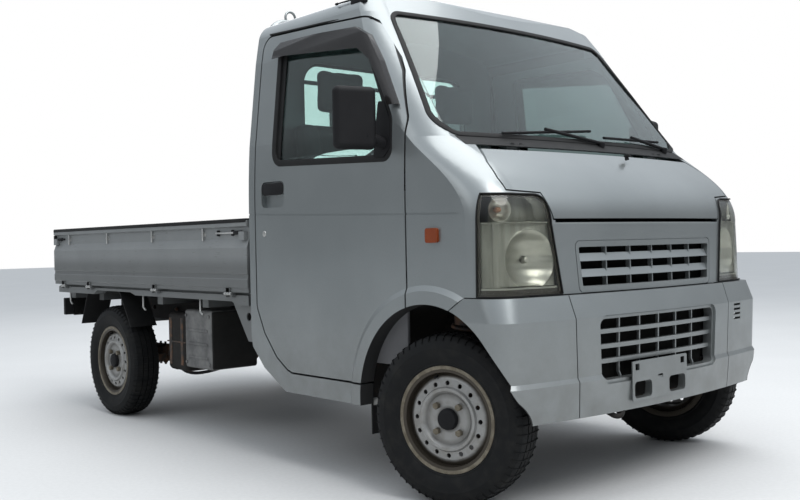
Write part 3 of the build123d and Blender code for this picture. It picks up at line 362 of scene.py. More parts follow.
steel, place, axes = finish_of("worn_steel")
heat = grain(place, 8.0, 6.0)
pit = grain(place, 160.0, 6.0)
shade = heat.blend((0.13, 0.115, 0.10), (0.27, 0.25, 0.23))
shade = grain(place, 35.0, 8.0, 0.7).between(0.55, 0.7).blend(shade, (0.19, 0.10, 0.055))
close(place, bump=pit, depth=0.0008, strength=0.4, Base_Color=shade, Metallic=0.6, Roughness=0.55)
dress(steel, "engine", "exhaust")
sump = bmesh.new()
for index in range(9):
    x = -0.20 + index * 0.05
    add_block(sump, (x - 0.004, 0.60, 0.288), (x + 0.004, 0.94, 0.301), 0.0015)
for y in (0.575, 0.965):
    for x in (-0.22, -0.11, 0.0, 0.11, 0.22):
        add_rod(sump, (x, y, 0.290), (x, y, 0.300), 0.008, 6)
clamp = [(-0.012, 0.0205), (-0.012, 0.026), (0.012, 0.026), (0.012, 0.0205)]
lengthwise = Matrix.Rotation(math.pi / 2, 4, "Z")
for y in (1.30, 1.86, 2.40):
    add_turned(sump, clamp, Matrix.Translation((0.200, y, 0.365)) @ lengthwise, 24)
silencer_seam = [(-0.006, 0.060), (-0.004, 0.065), (0.004, 0.065), (0.006, 0.060)]
for x in (-0.138, 0.258):
    add_turned(sump, silencer_seam, Matrix.Translation((x, 2.70, 0.385)), 40)
settle("engine_and_exhaust_fittings", sump, steel, "chassis")

# Fuel tank and air cleaner box: pressed steel tank in black with two straps
# and a seam, and a moulded box ahead of it with a dusty cover and painted shade on its front.
dress(chassis_black, "fuel_tank")
box_plastic_dust_and_shade, place, axes = finish_of("dusty_box_plastic_and_painted_shade")
mud = grain(place, 11.0, 7.0, 0.6)
shade = mud.between(0.3, 0.7).blend((0.10, 0.10, 0.10), (0.20, 0.20, 0.195))
# The box's front, ahead of cover_front, is painted near-black: painted shade where it stands in shadow.
cover_front = 1.463
front_painted_shade = mud.blend((0.010, 0.010, 0.010), (0.030, 0.029, 0.027))
shade = (axes[1] < axle_y + cover_front).blend(shade, front_painted_shade)
close(place, bump=mud, depth=0.001, strength=0.3, Base_Color=shade, Roughness=0.8, Specular_IOR_Level=0.2)
dress(box_plastic_dust_and_shade, "air_box")
straps = bmesh.new()
for y in (1.750, 1.855):
    add_block(straps, (-0.6425, y - 0.011, 0.290), (-0.6385, y + 0.011, 0.505), 0.001)
    add_block(straps, (-0.615, y - 0.011, 0.2595), (-0.420, y + 0.011, 0.2635), 0.001)
add_block(straps, (-0.643, 1.716, 0.392), (-0.400, 1.889, 0.398), 0.001)
settle("tank_straps", straps, iron, "chassis")
cover = bmesh.new()
y = 1.578
for z in (0.34, 0.40, 0.46):
    add_block(cover, (-0.6585, y - 0.085, z - 0.006), (-0.654, y + 0.085, z + 0.006), 0.002)
for dy in (-0.10, 0.10):
    for z in (0.315, 0.525):
        add_rod(cover, (-0.654, y + dy, z), (-0.661, y + dy, z), 0.007, 6, edge=0.001)
settle("air_box_ribs", cover, box_plastic_dust_and_shade, "chassis")

# Wheels: pressed steel rims in dusty silver with four nuts and a black hub
# cap, and light-truck tyres with five-rib tread and slotted shoulders.
def wheel_silver_and_shade(name, centre, turn):
    """Wheel silver with dust, and painted shade in the dish's crease, by the hub and in the barrel beyond the
    dish.
    """
    finish, place, axes = finish_of(name)
    dust = grain(place, 26.0, 8.0, 0.6)
    x, y, z = axes[0].size() - centre[0], axes[1] - centre[1], axes[2] - centre[2]
    if turn:
        x = axes[0] - centre[0]
    off_axis = y * math.cos(turn) - x * math.sin(turn)
    out = (off_axis * off_axis + z * z).root()
    shade = dust.between(0.35, 0.85).blend((0.29, 0.29, 0.282), (0.20, 0.188, 0.17))
    # Painted shade: darker in the dish's crease, round the hub cap and in the barrel beyond the dish.
    crease_shade = out.between(0.060, 0.078) * (1.0 - out.between(0.080, 0.088)) * 0.55
    shade = crease_shade.blend(shade, (0.085, 0.082, 0.076))
    hub_ring_shade = (1.0 - out.between(0.036, 0.046)) * 0.6
    shade = hub_ring_shade.blend(shade, (0.060, 0.056, 0.050))
    barrel_shade = (out + dust * 0.006).between(0.131, 0.142)
    shade = barrel_shade.blend(shade, (0.050, 0.042, 0.032))
    close(place, bump=dust, depth=0.0003, strength=0.15, Base_Color=shade, Metallic=0.55, Roughness=0.42)
    return finish


def pebbles(place, scale):
    """Moulded leather grain, at so many cells a metre."""
    return place.node("TexVoronoi", sockets={"Vector": place, "Scale": scale})


rim_brown, place, axes = finish_of("stained_rim_lip")
stain = grain(place, 30.0, 8.0, 0.65)
shade = stain.between(0.35, 0.7).blend((0.115, 0.098, 0.070), (0.21, 0.186, 0.142))
close(place, bump=stain, depth=0.0006, strength=0.25, Base_Color=shade, Metallic=0.45, Roughness=0.5)
tread_rubber, place, axes = finish_of("tyre_rubber")
bloom = grain(place, 24.0, 7.0, 0.6)
fine = grain(place, 420.0, 3.0)
shade = bloom.between(0.40, 0.80).blend((0.004, 0.0045, 0.005), (0.014, 0.0135, 0.0125))
close(
    place, bump=fine, depth=0.0004, strength=0.3, Base_Color=shade, Roughness=0.62 + bloom * 0.15,
    Specular_IOR_Level=0.22,
)
black_plastic, place, axes = finish_of("black_grained_plastic")
pebble = pebbles(place, 900.0)
fade = grain(place, 12.0, 5.0)
shade = fade.blend((0.006, 0.006, 0.007), (0.016, 0.016, 0.017))
close(
    place, bump=pebble, depth=0.0004, strength=0.35, Base_Color=shade, Roughness=0.50 + fade * 0.2,
    Specular_IOR_Level=0.14,
)

# across from the middle of the tread and out from the axle, from the middle rib
# over shoulder and wall to the bead and back along the inside
half_section = [
    (0.0025, 0.2640), (0.0028, 0.2706), (0.0232, 0.2702), (0.0236, 0.2636), (0.0284, 0.2634),
    (0.0288, 0.2694), (0.0400, 0.2682), (0.0540, 0.2650), (0.0605, 0.2590), (0.0660, 0.2500),
    (0.0700, 0.2390), (0.0722, 0.2295), (0.0728, 0.2272), (0.0720, 0.2250), (0.0712, 0.2150),
    (0.0700, 0.2050), (0.0672, 0.1950), (0.0628, 0.1860), (0.0600, 0.1800), (0.0606, 0.1775),
    (0.0590, 0.1735), (0.0560, 0.1708), (0.0500, 0.1740), (0.0600, 0.2100), (0.0560, 0.2450),
    (0.0300, 0.2560),
]
section = [(-x, r) for x, r in reversed(half_section)] + half_section
lugs = 60
lug_steps = 3
lug_angle = math.tau / lugs
slot_angle = 0.0105
slot_depth = 0.0035
tyre = bmesh.new()
line = [tyre.verts.new((x, 0.0, r)) for x, r in section]
edges = [tyre.edges.new(pair) for pair in zip(line, line[1:] + line[:1])]
first = bmesh.ops.spin(
    tyre, geom=line + edges, cent=(0, 0, 0), axis=(1, 0, 0), angle=slot_angle, steps=1,
)["geom_last"]
cut_faces = tyre.faces[:]
bmesh.ops.spin(
    tyre, geom=first, cent=(0, 0, 0), axis=(1, 0, 0), angle=lug_angle - slot_angle, steps=lug_steps,
)
slots = []
for face in cut_faces:
    spot = face.calc_center_median()
    out = math.hypot(spot.y, spot.z)
    shoulder = out > 0.2525 and 0.029 < abs(spot.x) < 0.064
    sipe = out > 0.269 and 0.003 < abs(spot.x) < 0.023
    if shoulder or sipe:
        slots.append(face)
bmesh.ops.inset_region(tyre, faces=slots, thickness=0.0004, depth=-slot_depth, use_even_offset=True)
bmesh.ops.spin(
    tyre, geom=tyre.verts[:] + tyre.edges[:] + tyre.faces[:], cent=(0, 0, 0), axis=(1, 0, 0),
    angle=lug_angle * (lugs - 1), steps=lugs - 1, use_duplicate=True,
)
bmesh.ops.remove_doubles(tyre, verts=tyre.verts, dist=same_spot)

steered = math.radians(16.0)
axle_height = 0.271
wheelbase = 2.350
nut_circle = 0.05715
lip_profile = [
    (0.0515, 0.1590), (0.0535, 0.1695), (0.0560, 0.1718), (0.0588, 0.1708), (0.0596, 0.1650),
    (0.0580, 0.1600), (0.0540, 0.1585),
]
cap_profile = [
    (0.056, 0.0), (0.0608, 0.0), (0.0612, 0.012), (0.0600, 0.024), (0.0572, 0.0315), (0.050, 0.0342),
    (0.0425, 0.0348),
]
for side, label in ((1, "left"), (-1, "right")):
    spin_round = Matrix.Rotation(0.0 if side > 0 else math.pi, 4, "Z")
    king = Matrix.Translation((side * king_pin_x, 0.0, axle_height))
    front = king @ Matrix.Rotation(steered, 4, "Z") @ Matrix.Translation((side * 0.100, 0, 0)) @ spin_round
    rear = Matrix.Translation((side * 0.645, wheelbase, axle_height)) @ spin_round
    for end, place in (("front", front), ("rear", rear)):
        body = f"wheel_{end}_{label}"
        centre = place.translation
        turned = 0.0 if end == "rear" else steered
        at = (abs(centre.x) if end == "rear" else centre.x, centre.y + axle_y, centre.z)
        dress(wheel_silver_and_shade(f"wheel_silver_paint_{end}_{label}", at, turned), f"rim_{end}_{label}")
        form = tyre.copy()
        bmesh.ops.transform(form, matrix=place, verts=form.verts)
        piece = settle(f"treaded_tyre_{end}_{label}", form, tread_rubber, body, 28.0)
        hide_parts(f"tyre_{end}_{label}")
        lip = bmesh.new()
        add_turned(lip, lip_profile, place, 72)
        settle(f"rim_lip_{end}_{label}", lip, rim_brown, body)
        hub = bmesh.new()
        add_turned(hub, cap_profile, place, 40)
        settle(f"hub_cap_{end}_{label}", hub, black_plastic, body)
        nuts = bmesh.new()
        for index in range(4):
            round_place = place @ Matrix.Rotation(math.radians(45 + 90 * index), 4, "X")
            low = round_place @ Vector((0.0405, 0, nut_circle))
            high = round_place @ Vector((0.0570, 0, nut_circle))
            add_rod(nuts, low, high, 0.0112, 6, edge=0.0016)
        settle(f"wheel_nuts_{end}_{label}", nuts, rim_brown, body)
        valve = bmesh.new()
        round_place = place @ Matrix.Rotation(0.3, 4, "X")
        low = round_place @ Vector((0.030, 0, 0.141))
        high = round_place @ Vector((0.055, 0, 0.136))
        add_rod(valve, low, high, 0.0045, 12, tip=0.0035, edge=0.001)
        settle(f"tyre_valve_{end}_{label}", valve, black_plastic, body)
tyre.free()

# Load bed: ribbed steel floor and sills in scratched silver, screwed down to the
# cross sills, with rope hook rods and a sagging brake pipe below.
def toned(name, lumps, detail, first, second, rough=0.55, depth=None, strength=0.3, **sockets):
    """A finish that wanders between two tones, with the same relief if a depth is given."""
    finish, place, axes = finish_of(name)
    noise = grain(place, lumps, detail, rough)
    relief = {} if depth is None else {"bump": noise, "depth": depth, "strength": strength}
    close(place, Base_Color=noise.blend(first, second), **relief, **sockets)
    return finish


bed_coat_and_shade, place, axes = finish_of("worn_bed_coat_and_painted_shade")
scratch = grain(place, 40.0, 8.0, stretch=(6.0, 0.4, 6.0))
worn = grain(place, 9.0, 8.0, 0.7)
scuff = (scratch * 0.6 + worn * 0.4).between(0.56, 0.70)
shade = grain(place, 5.0, 5.0).blend((0.205, 0.215, 0.215), (0.285, 0.295, 0.295))
shade = (scuff * 0.5).blend(shade, (0.16, 0.15, 0.135))
# Painted shade: darker towards the bottom, below these heights, on the gates' lower panels and on the bed
# floor.
bed_shade_low = 0.74
bed_shade_high = 0.80
low_painted_shade = (1.0 - axes[2].between(bed_shade_low, bed_shade_high)) * 0.55
shade = low_painted_shade.blend(shade, (0.085, 0.088, 0.086))
close(
    place, bump=scratch, depth=0.0015, strength=0.25, Base_Color=shade, Metallic=0.45,
    Roughness=0.48 + scuff * 0.25,
)
dress(bed_coat_and_shade, "bed_floor")
zinc = toned(
    "bright_zinc", 60.0, 8.0, (0.36, 0.36, 0.35), (0.58, 0.58, 0.56), rough=0.6, depth=0.0006, Metallic=0.85,
    Roughness=0.34,
)
screws = bmesh.new()
for station in (1.10, 1.505, 1.925, 2.57, 2.925):
    for x in (0.035, 0.145, 0.25, 0.355, 0.46, 0.565, 0.66):
        add_rod(screws, (x, station, 0.648), (x, station, 0.6525), 0.0085, 14, tip=0.005)
settle_pair("bed_floor_screws", screws, zinc, "chassis")
hooks = bmesh.new()
for station in (1.50, 2.04, 2.90):
    add_rod(hooks, (0.684, station, 0.545), (0.684, station, 0.612), 0.0045, 12, edge=0.001)
    add_rod(hooks, (0.684, station, 0.549), (0.684, station - 0.022, 0.536), 0.0045, 12, edge=0.001)
settle_pair("rope_hook_rods", hooks, zinc, "chassis")
pipe_route = [
    (-0.34, 2.24, 0.345), (-0.44, 2.16, 0.30), (-0.50, 2.05, 0.262), (-0.54, 1.94, 0.246),
    (-0.56, 1.84, 0.240), (-0.56, 1.74, 0.246), (-0.53, 1.64, 0.268), (-0.46, 1.56, 0.300),
]
bend("brake_pipe", pipe_route, 0.0075, black_plastic, "chassis", soft=True)

# Mudguards: sheet rubber flaps at the wheels, those behind the front wheels held
# by a steel strip with three bolts.
rubber = toned(
    "black_rubber", 20.0, 6.0, (0.005, 0.005, 0.0055), (0.014, 0.014, 0.014), depth=0.0006, Roughness=0.66,
    Specular_IOR_Level=0.25,
)
dress(rubber, "mudguards")
strips = bmesh.new()
add_block(strips, (0.565, 0.3425, 0.270), (0.671, 0.3455, 0.296), 0.001)
for x in (0.58, 0.618, 0.656):
    add_rod(strips, (x, 0.3515, 0.283), (x, 0.3560, 0.283), 0.007, 6, edge=0.001)
settle_pair("flap_strips", strips, zinc, "chassis")

# Cab shell: welded pressings in silver metallic paint under clear lacquer,
# dusty low down, with a black drip line over each door.
skin_half = 0.7295
waist = 0.950
arch_middle = 0.300
arch_radius = 0.3356
pillar_end = 0.42
door_end = 0.997


def lacquer(name, hidden=None):
    """Silver metallic paint under lacquer, black in the arch and where hidden is 1."""
    finish, place, axes = finish_of(name)
    flake = grain(place, 900.0, 2.0)
    wave = grain(place, 3.0, 2.0)
    dust = grain(place, 14.0, 6.0) * (1.0 - axes[2].between(0.25, 0.75)) * 0.8
    mix = (flake * 0.5 + wave * 0.5).between(0.25, 0.75)
    shade = mix.blend((0.222, 0.240, 0.242), (0.280, 0.300, 0.302))
    shade = (dust * 0.8).blend(shade, (0.125, 0.12, 0.11))
    fore = axes[1] - axle_y
    rise = axes[2] - arch_middle
    black = (fore * fore + rise * rise) < arch_radius * arch_radius
    if hidden is not None:
        black = black.most(hidden(place, axes))
    shade = black.blend(shade, (0.016, 0.016, 0.016))
    close(
        place, bump=wave * 0.7 + flake * 0.01, depth=0.003, strength=0.10, Base_Color=shade,
        Metallic=0.70 - black * 0.70, Roughness=0.32 + dust * 0.3 + black * 0.3,
        Coat_Weight=0.40 - black * 0.40, Coat_Roughness=0.10,
    )
    return finish


def facing_of(place):
    """How far a surface faces across and along the truck."""
    facing = place.node("TexCoord", out=1)
    return [facing.node("SeparateXYZ", sockets={0: facing}, out=index) for index in (0, 1)]


def frame_seal_and_shade(place, axes):
    """1 on the jambs that lie well behind the cab's side: black for the seals that run there, and painted
    shade in the deep door gaps.
    """
    rise = (axes[2] - waist).most(0.0)
    deep = (axes[0].size() + rise * rise * 0.131) < skin_half - 0.008
    across, along = facing_of(place)
    past_pillar = (axes[1] > axle_y + pillar_end) * (axes[1] < axle_y + door_end)
    front = (axes[1] < axle_y + pillar_end) * (axes[2] > 1.0)
    pillar_jamb = (across.size() < 0.3) * (along > -0.2) * front
    return (deep * past_pillar).most(pillar_jamb)


def door_seal_and_shade(place, axes):
    """1 on the edge of the door that meets the front pillar: black for its seal, and painted shade in the
    gap.
    """
    across, along = facing_of(place)
    return (across.size() < 0.3) * (along < 0.2) * (axes[1] < axle_y + pillar_end) * (axes[2] > 1.0)


paint = lacquer("silver_body_paint")
# The black on the jambs and on the doors' front edges is partly the rubber seals and partly painted shade in
# the door gaps.
dress(lacquer("silver_frame_paint", frame_seal_and_shade), "side_frame_left", "side_frame_right")
dress(lacquer("silver_door_paint", door_seal_and_shade), "door_left", "door_right")
dress(paint, "roof", "back_wall", "front_panel", "front_lid", "bumper", "headboard")
dress(paint, "upper_grille", "lower_grille")
dress(bed_coat_and_shade, "gate_left", "gate_right", "tailgate")


def merged(node, chosen=None):
    """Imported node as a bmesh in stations, its triangles joined, cut to chosen faces."""
    form = bmesh.new()
    form.from_mesh(nodes[node].data)
    bmesh.ops.remove_doubles(form, verts=form.verts, dist=2e-5)
    bmesh.ops.translate(form, vec=(0.0, -axle_y, 0.0), verts=form.verts)
    form.normal_update()
    if chosen:
        rest = [face for face in form.faces if not chosen(face.calc_center_median(), face.normal)]
        bmesh.ops.delete(form, geom=rest, context="FACES")
    return form


def skin_x(height):
    """Half width of the cab's side at a height: upright to the waist, then an arc."""
    a, b, c = Vector((skin_half, waist)), Vector((0.711, 1.330)), Vector((0.664, 1.655))
    if height <= a.y:
        return a.x
    return (
        a.x * (height - b.y) * (height - c.y) / ((a.y - b.y) * (a.y - c.y))
        + b.x * (height - a.y) * (height - c.y) / ((b.y - a.y) * (b.y - c.y))
        + c.x * (height - a.y) * (height - b.y) / ((c.y - a.y) * (c.y - b.y))
    )


def edge_band(form, inner, outer, thick, lift=0.0, round_off=0.0015):
    """Turns a pane into a raised band along its edge, inner over it and outer beyond."""
    bmesh.ops.dissolve_limit(form, angle_limit=0.02, verts=form.verts, edges=form.edges)
    form.normal_update()
    rims = {edge for edge in form.edges if edge.is_boundary}
    outline = {vert for edge in rims for vert in edge.verts}
    band = bmesh.ops.inset_region(
        form, faces=form.faces[:], thickness=inner, use_boundary=True, use_even_offset=True
    )
    moves = {}
    for face in band["faces"]:
        for edge in face.edges:
            first, second = edge.verts
            if (first in outline) != (second in outline):
                rim, inside = (first, second) if first in outline else (second, first)
                moves[rim] = (rim.co - inside.co) * (outer / inner)
    for rim, move in moves.items():
        rim.co += move
    keep_faces = set(band["faces"])
    bmesh.ops.delete(form, geom=[face for face in form.faces if face not in keep_faces], context="FACES")
    form.normal_update()
    for vert in form.verts:
        vert.co += vert.normal * lift
    bmesh.ops.solidify(form, geom=form.faces[:], thickness=-thick)
    form.normal_update()
    if round_off:
        folds = [edge for edge in form.edges if len(edge.link_faces) == 2]
        ease(form, [edge for edge in folds if edge.calc_face_angle() > 1.0], round_off)
    return form


drip = [
    (0.655, 0.330, 1.612), (0.662, 0.410, 1.629), (0.665, 0.560, 1.640), (0.665, 0.760, 1.648),
    (0.664, 0.940, 1.658),
]
bend_pair("drip_line", drip, 0.004, rubber, "chassis", soft=True)

# Glass: green-tinted panes in black rubber seals at the front, rear and doors,
# and the black cover of the cowl under the windscreen.
screen_glass = toned(
    "green_tinted_glass", 7.0, 5.0, (0.44, 0.56, 0.54), (0.52, 0.64, 0.61), Roughness=0.0, IOR=1.5,
    Transmission_Weight=1.0, Specular_IOR_Level=0.9,
)
dress(screen_glass, "cab_glass")
pane = merged("cab_glass", lambda spot, normal: normal.y < -0.3 and spot.y < 0.6)
settle("windscreen_seal", edge_band(pane, 0.013, 0.006, 0.0085, lift=-0.002), rubber, "chassis")


def clipped(form, axis, low, high):
    """Cuts a form to what lies between two planes across an axis."""
    line = Vector([float(index == axis) for index in range(3)])
    for at, way in ((low, -1.0), (high, 1.0)):
        geom = form.verts[:] + form.edges[:] + form.faces[:]
        bmesh.ops.bisect_plane(
            form, geom=geom, dist=1e-6, plane_co=line * at, plane_no=line * way, clear_outer=True
        )
    form.normal_update()
    return form


def sunk(form, lift, thick):
    """Moves a skin along its normals and gives it a thickness behind."""
    for vert in form.verts:
        vert.co += vert.normal * lift
    bmesh.ops.solidify(form, geom=form.faces[:], thickness=thick)
    return form


cowl_low, cowl_high, cowl_half = 1.141, 1.1725, 0.620
cowl = merged("front_panel", lambda spot, normal: spot.z > 1.05 and normal.y < -0.2 and abs(spot.x) < 0.68)
cowl = clipped(clipped(cowl, 2, cowl_low, cowl_high), 0, -cowl_half, cowl_half)
settle("cowl_cover", sunk(cowl, 0.0010, 0.0016), rubber, "chassis")
pane = merged("cab_glass", lambda spot, normal: normal.y > 0.9 and spot.y > 0.6)
settle("rear_window_seal", edge_band(pane, 0.010, 0.010, 0.016, lift=-0.001), rubber, "chassis")
for side, label in ((1, "left"), (-1, "right")):
    dress(screen_glass, f"door_glass_{label}")
    pane = merged(
        f"door_glass_{label}",
        lambda spot, normal: normal.x * side > 0.3 and spot.x * side < skin_x(spot.z) - 0.008,
    )
    post = clipped(pane.copy(), 1, 0.815, 0.870)
    seal = edge_band(pane, 0.020, 0.004, 0.0145, lift=-0.001)
    settle(f"window_channel_{label}", seal, rubber, f"door_{label}")
    settle(f"window_rear_run_{label}", sunk(post, 0.0045, 0.0060), rubber, f"door_{label}")

# Doors: handle cups with black pull flaps, key locks and trim cards inside,
# black mirrors on two arms, and the smoked visors over the windows.
smoked = toned(
    "smoked_visor", 6.0, 4.0, (0.012, 0.011, 0.011), (0.024, 0.022, 0.022), depth=0.0006, strength=0.1,
    Roughness=0.18, Transmission_Weight=0.2, Specular_IOR_Level=0.3,
)
mirror_face, place, axes = finish_of("mirror_glass")
film = grain(place, 9.0, 5.0)
shade = film.blend((0.62, 0.65, 0.66), (0.74, 0.77, 0.78))
close(place, Base_Color=shade, Metallic=1.0, Roughness=0.04 + film * 0.04)
trim_card, place, axes = finish_of("grey_trim_card")
pebble = pebbles(place, 500.0)
shade = grain(place, 7.0, 5.0).blend((0.085, 0.085, 0.088), (0.13, 0.13, 0.135))
close(place, bump=pebble, depth=0.0006, strength=0.4, Base_Color=shade, Roughness=0.7)


def add_pad(form, low, high, corner, edge):
    """A flat pad that faces sideways, its four corners and its outer edge rounded."""
    before = set(form.verts)
    add_block(form, low, high)
    crosswise = lambda first, second: abs(first.co.x - second.co.x) > 1e-6
    outermost = lambda first, second: min(first.co.x, second.co.x) > high[0] - 1e-6
    for width, steps, chosen in ((corner, 6, crosswise), (edge, 2, outermost)):
        links = {link for vert in form.verts if vert not in before for link in vert.link_edges}
        ease(form, [link for link in links if chosen(*link.verts)], width, steps)


def island(form, chosen):
    """Keeps only the joined-up part of a form whose vertices pass a test together."""
    left = set(form.verts)
    while left:
        reached = {left.pop()}
        waiting = list(reached)
        while waiting:
            vert = waiting.pop()
            fresh = {link.other_vert(vert) for link in vert.link_edges} - reached
            reached |= fresh
            waiting += fresh
        left -= reached
        if not chosen(reached):
            bmesh.ops.delete(form, geom=list(reached), context="VERTS")
    return form


def stands_out(verts):
    """True of the visor, which reaches past the cab's side, and not of the pane."""
    return max(abs(vert.co.x) - skin_x(vert.co.z) for vert in verts) > 0.010


for label in ("left", "right"):
    door = f"door_{label}"
    visor = island(merged(f"door_glass_{label}"), stands_out)
    pane = island(merged(f"door_glass_{label}"), lambda verts: not stands_out(verts))
    visor = settle(f"window_visor_{label}", visor, smoked, door)
    pane = settle(f"window_pane_{label}", pane, screen_glass, door)
    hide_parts(f"door_glass_{label}")
    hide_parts(f"door_glass_{label}")
    dress(black_plastic, f"mirror_{label}")

grip = bmesh.new()
add_pad(grip, (0.7150, 0.7835, 1.0225), (0.7290, 0.9265, 1.0705), 0.018, 0.003)
settle_pair("door_pull", grip, black_plastic, "door_SIDE")
lock = bmesh.new()
add_rod(lock, (0.726, 0.914, 0.877), (0.7325, 0.914, 0.877), 0.0115, 28, edge=0.0015)
add_block(lock, (0.7320, 0.9125, 0.870), (0.7332, 0.9155, 0.884), 0.0004)
settle_pair("door_lock", lock, zinc, "door_SIDE")
card = bmesh.new()
add_block(card, (0.664, 0.150, 0.420), (0.6785, 0.930, 1.085), 0.006)
add_block(card, (0.635, 0.470, 0.800), (0.668, 0.860, 0.850), 0.012)
add_block(card, (0.646, 0.330, 0.930), (0.668, 0.430, 0.960), 0.005)
add_rod(card, (0.640, 0.310, 0.760), (0.668, 0.310, 0.760), 0.022, 24, edge=0.004)
add_block(card, (0.628, 0.300, 0.700), (0.646, 0.320, 0.765), 0.006)
settle_pair("door_card", card, trim_card, "door_SIDE")
mirror_turn = Matrix.Translation((0.830, 0.220, 1.242)) @ Matrix.Rotation(math.radians(17.0), 4, "Z")
glass = bmesh.new()
add_block(glass, (-0.060, 0.0195, -0.090), (0.060, 0.0232, 0.090), 0.0016, turn=mirror_turn)
settle_pair("mirror_glass", glass, mirror_face, "door_SIDE")

# Headlamps: clear polycarbonate, dulled by the sun, over a round reflector and
# bulb, with a turn lamp in its own chamber above and a brown-grey border.
lens = toned(
    "weathered_lens", 16.0, 7.0, (0.88, 0.885, 0.83), (0.95, 0.95, 0.91), depth=0.0004, strength=0.15,
    Roughness=0.05, IOR=1.35, Transmission_Weight=1.0,
)
chrome, place, axes = finish_of("aluminised_reflector")
haze = grain(place, 14.0, 4.0, stretch=(1.0, 1.0, 2.5))
shade = haze.blend((0.34, 0.345, 0.31), (0.62, 0.62, 0.57))
close(
    place, bump=axes[2].ripple(150.0), depth=0.004, strength=0.35, Base_Color=shade, Metallic=0.85,
    Roughness=0.34 + haze * 0.14,
)
lamp_panel, place, axes = finish_of("dulled_lamp_panel")
haze = grain(place, 12.0, 4.0, stretch=(3.0, 1.0, 0.4))
shade = haze.between(0.3, 0.7).blend((0.27, 0.275, 0.245), (0.40, 0.405, 0.365))
close(place, bump=haze, depth=0.001, strength=0.2, Base_Color=shade, Metallic=0.45, Roughness=0.36)
lamp_border = toned(
    "brown_lamp_border", 30.0, 5.0, (0.040, 0.037, 0.030), (0.085, 0.080, 0.066), depth=0.0005, Roughness=0.42
)
turn_bulb = toned(
    "faded_amber_bulb", 60.0, 3.0, (0.26, 0.12, 0.06), (0.36, 0.18, 0.10), depth=0.0003, strength=0.2,
    Roughness=0.4,
)
# along from the bulb's seat and out from the bulb
main_bowl = [
    (0.0385, 0.0930), (0.0375, 0.0900), (0.030, 0.0820), (0.020, 0.0700), (0.012, 0.0550), (0.006, 0.0380),
    (0.002, 0.0220), (0.001, 0.0130),
]
main_flange = [(0.0370, 0.2000), (0.0370, 0.0950), (0.0385, 0.0928)]
turn_bowl = [(0.028, 0.0370), (0.026, 0.0345), (0.014, 0.0290), (0.006, 0.0200), (0.002, 0.0100)]
bulb_tip = Vector((0.024, 0.0, 0.0))
lamp_split = 0.885
for side, label in ((1, "left"), (-1, "right")):
    own = lambda spot: spot.x * side > 0
    faces_out = lambda normal: (normal.y < -0.25 or normal.x * side > 0.5) and abs(normal.z) < 0.5
    outer_face = lambda spot, normal: own(spot) and faces_out(normal)
    in_front = lambda spot, normal: spot.y < -0.26 or normal.y < -0.25
    shell = merged("headlamps", lambda spot, normal: outer_face(spot, normal) and in_front(spot, normal))
    bmesh.ops.dissolve_limit(shell, angle_limit=0.01, verts=shell.verts, edges=shell.edges)
    shell.normal_update()
    pane = shell.copy()
    border = shell.copy()
    gasket = shell.copy()
    bmesh.ops.solidify(pane, geom=pane.faces[:], thickness=0.003)
    piece = settle(f"headlamp_lens_{label}", pane, lens, "chassis")
    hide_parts("headlamps")
    band = edge_band(border, 0.011, 0.0002, 0.003, lift=-0.0034, round_off=0.0)
    settle(f"headlamp_border_{label}", band, lamp_border, "chassis")
    band = edge_band(gasket, 0.0028, 0.0005, 0.006, lift=0.0006, round_off=0.0)
    settle(f"headlamp_gasket_{label}", band, rubber, "chassis")
    walls = sunk(clipped(shell.copy(), 2, lamp_split - 0.002, lamp_split + 0.002), -0.004, 0.045)
    settle(f"headlamp_divider_{label}", walls, lamp_panel, "chassis")
    strip = sunk(clipped(shell.copy(), 2, 0.6835, 0.6890), -0.006, 0.010)
    settle(f"headlamp_strip_{label}", strip, chrome, "chassis")
    flank = clipped(shell.copy(), 2, 0.690, lamp_split - 0.003)
    flank = sunk(clipped(flank, 0, *sorted((side * 0.680, side * 0.730))), -0.012, 0.002)
    settle(f"headlamp_flank_{label}", flank, lamp_panel, "chassis")
    foot = sunk(clipped(shell, 2, 0.6630, 0.6830), -0.0045, 0.003)
    settle(f"headlamp_foot_{label}", foot, lamp_border, "chassis")
    case = merged("headlamps", lambda spot, normal: own(spot) and not outer_face(spot, normal))
    settle(f"headlamp_case_{label}", case, lamp_panel, "chassis")
    parts = bmesh.new()
    main_turn = Matrix.Rotation(math.radians(-90.0 + side * 12.0), 4, "Z")
    main = Matrix.Translation((side * 0.552, -0.245, 0.772)) @ main_turn
    add_turned(parts, main_bowl, main, 56)
    flange = bmesh.new()
    add_turned(flange, main_flange, main, 56)
    for form in (parts, flange):
        clipped(clipped(form, 2, 0.691, lamp_split - 0.003), 0, *sorted((side * 0.470, side * 0.692)))
        bmesh.ops.solidify(form, geom=form.faces[:], thickness=0.001)
    settle(f"headlamp_flange_{label}", flange, lamp_panel, "chassis")
    add_rod(parts, main.translation, main @ bulb_tip, 0.0095, 24, edge=0.003)
    upper_turn = Matrix.Rotation(math.radians(-90.0 + side * 24.0), 4, "Z")
    upper = Matrix.Translation((side * 0.640, -0.222, 0.926)) @ upper_turn
    add_turned(parts, turn_bowl, upper, 40)
    settle(f"headlamp_reflectors_{label}", parts, chrome, "chassis")
    bulb = bmesh.new()
    add_rod(bulb, upper.translation, upper @ bulb_tip, 0.0100, 24, tip=0.0080, edge=0.003)
    settle(f"turn_bulb_{label}", bulb, turn_bulb, "chassis")
dress(lens, "headlamps")

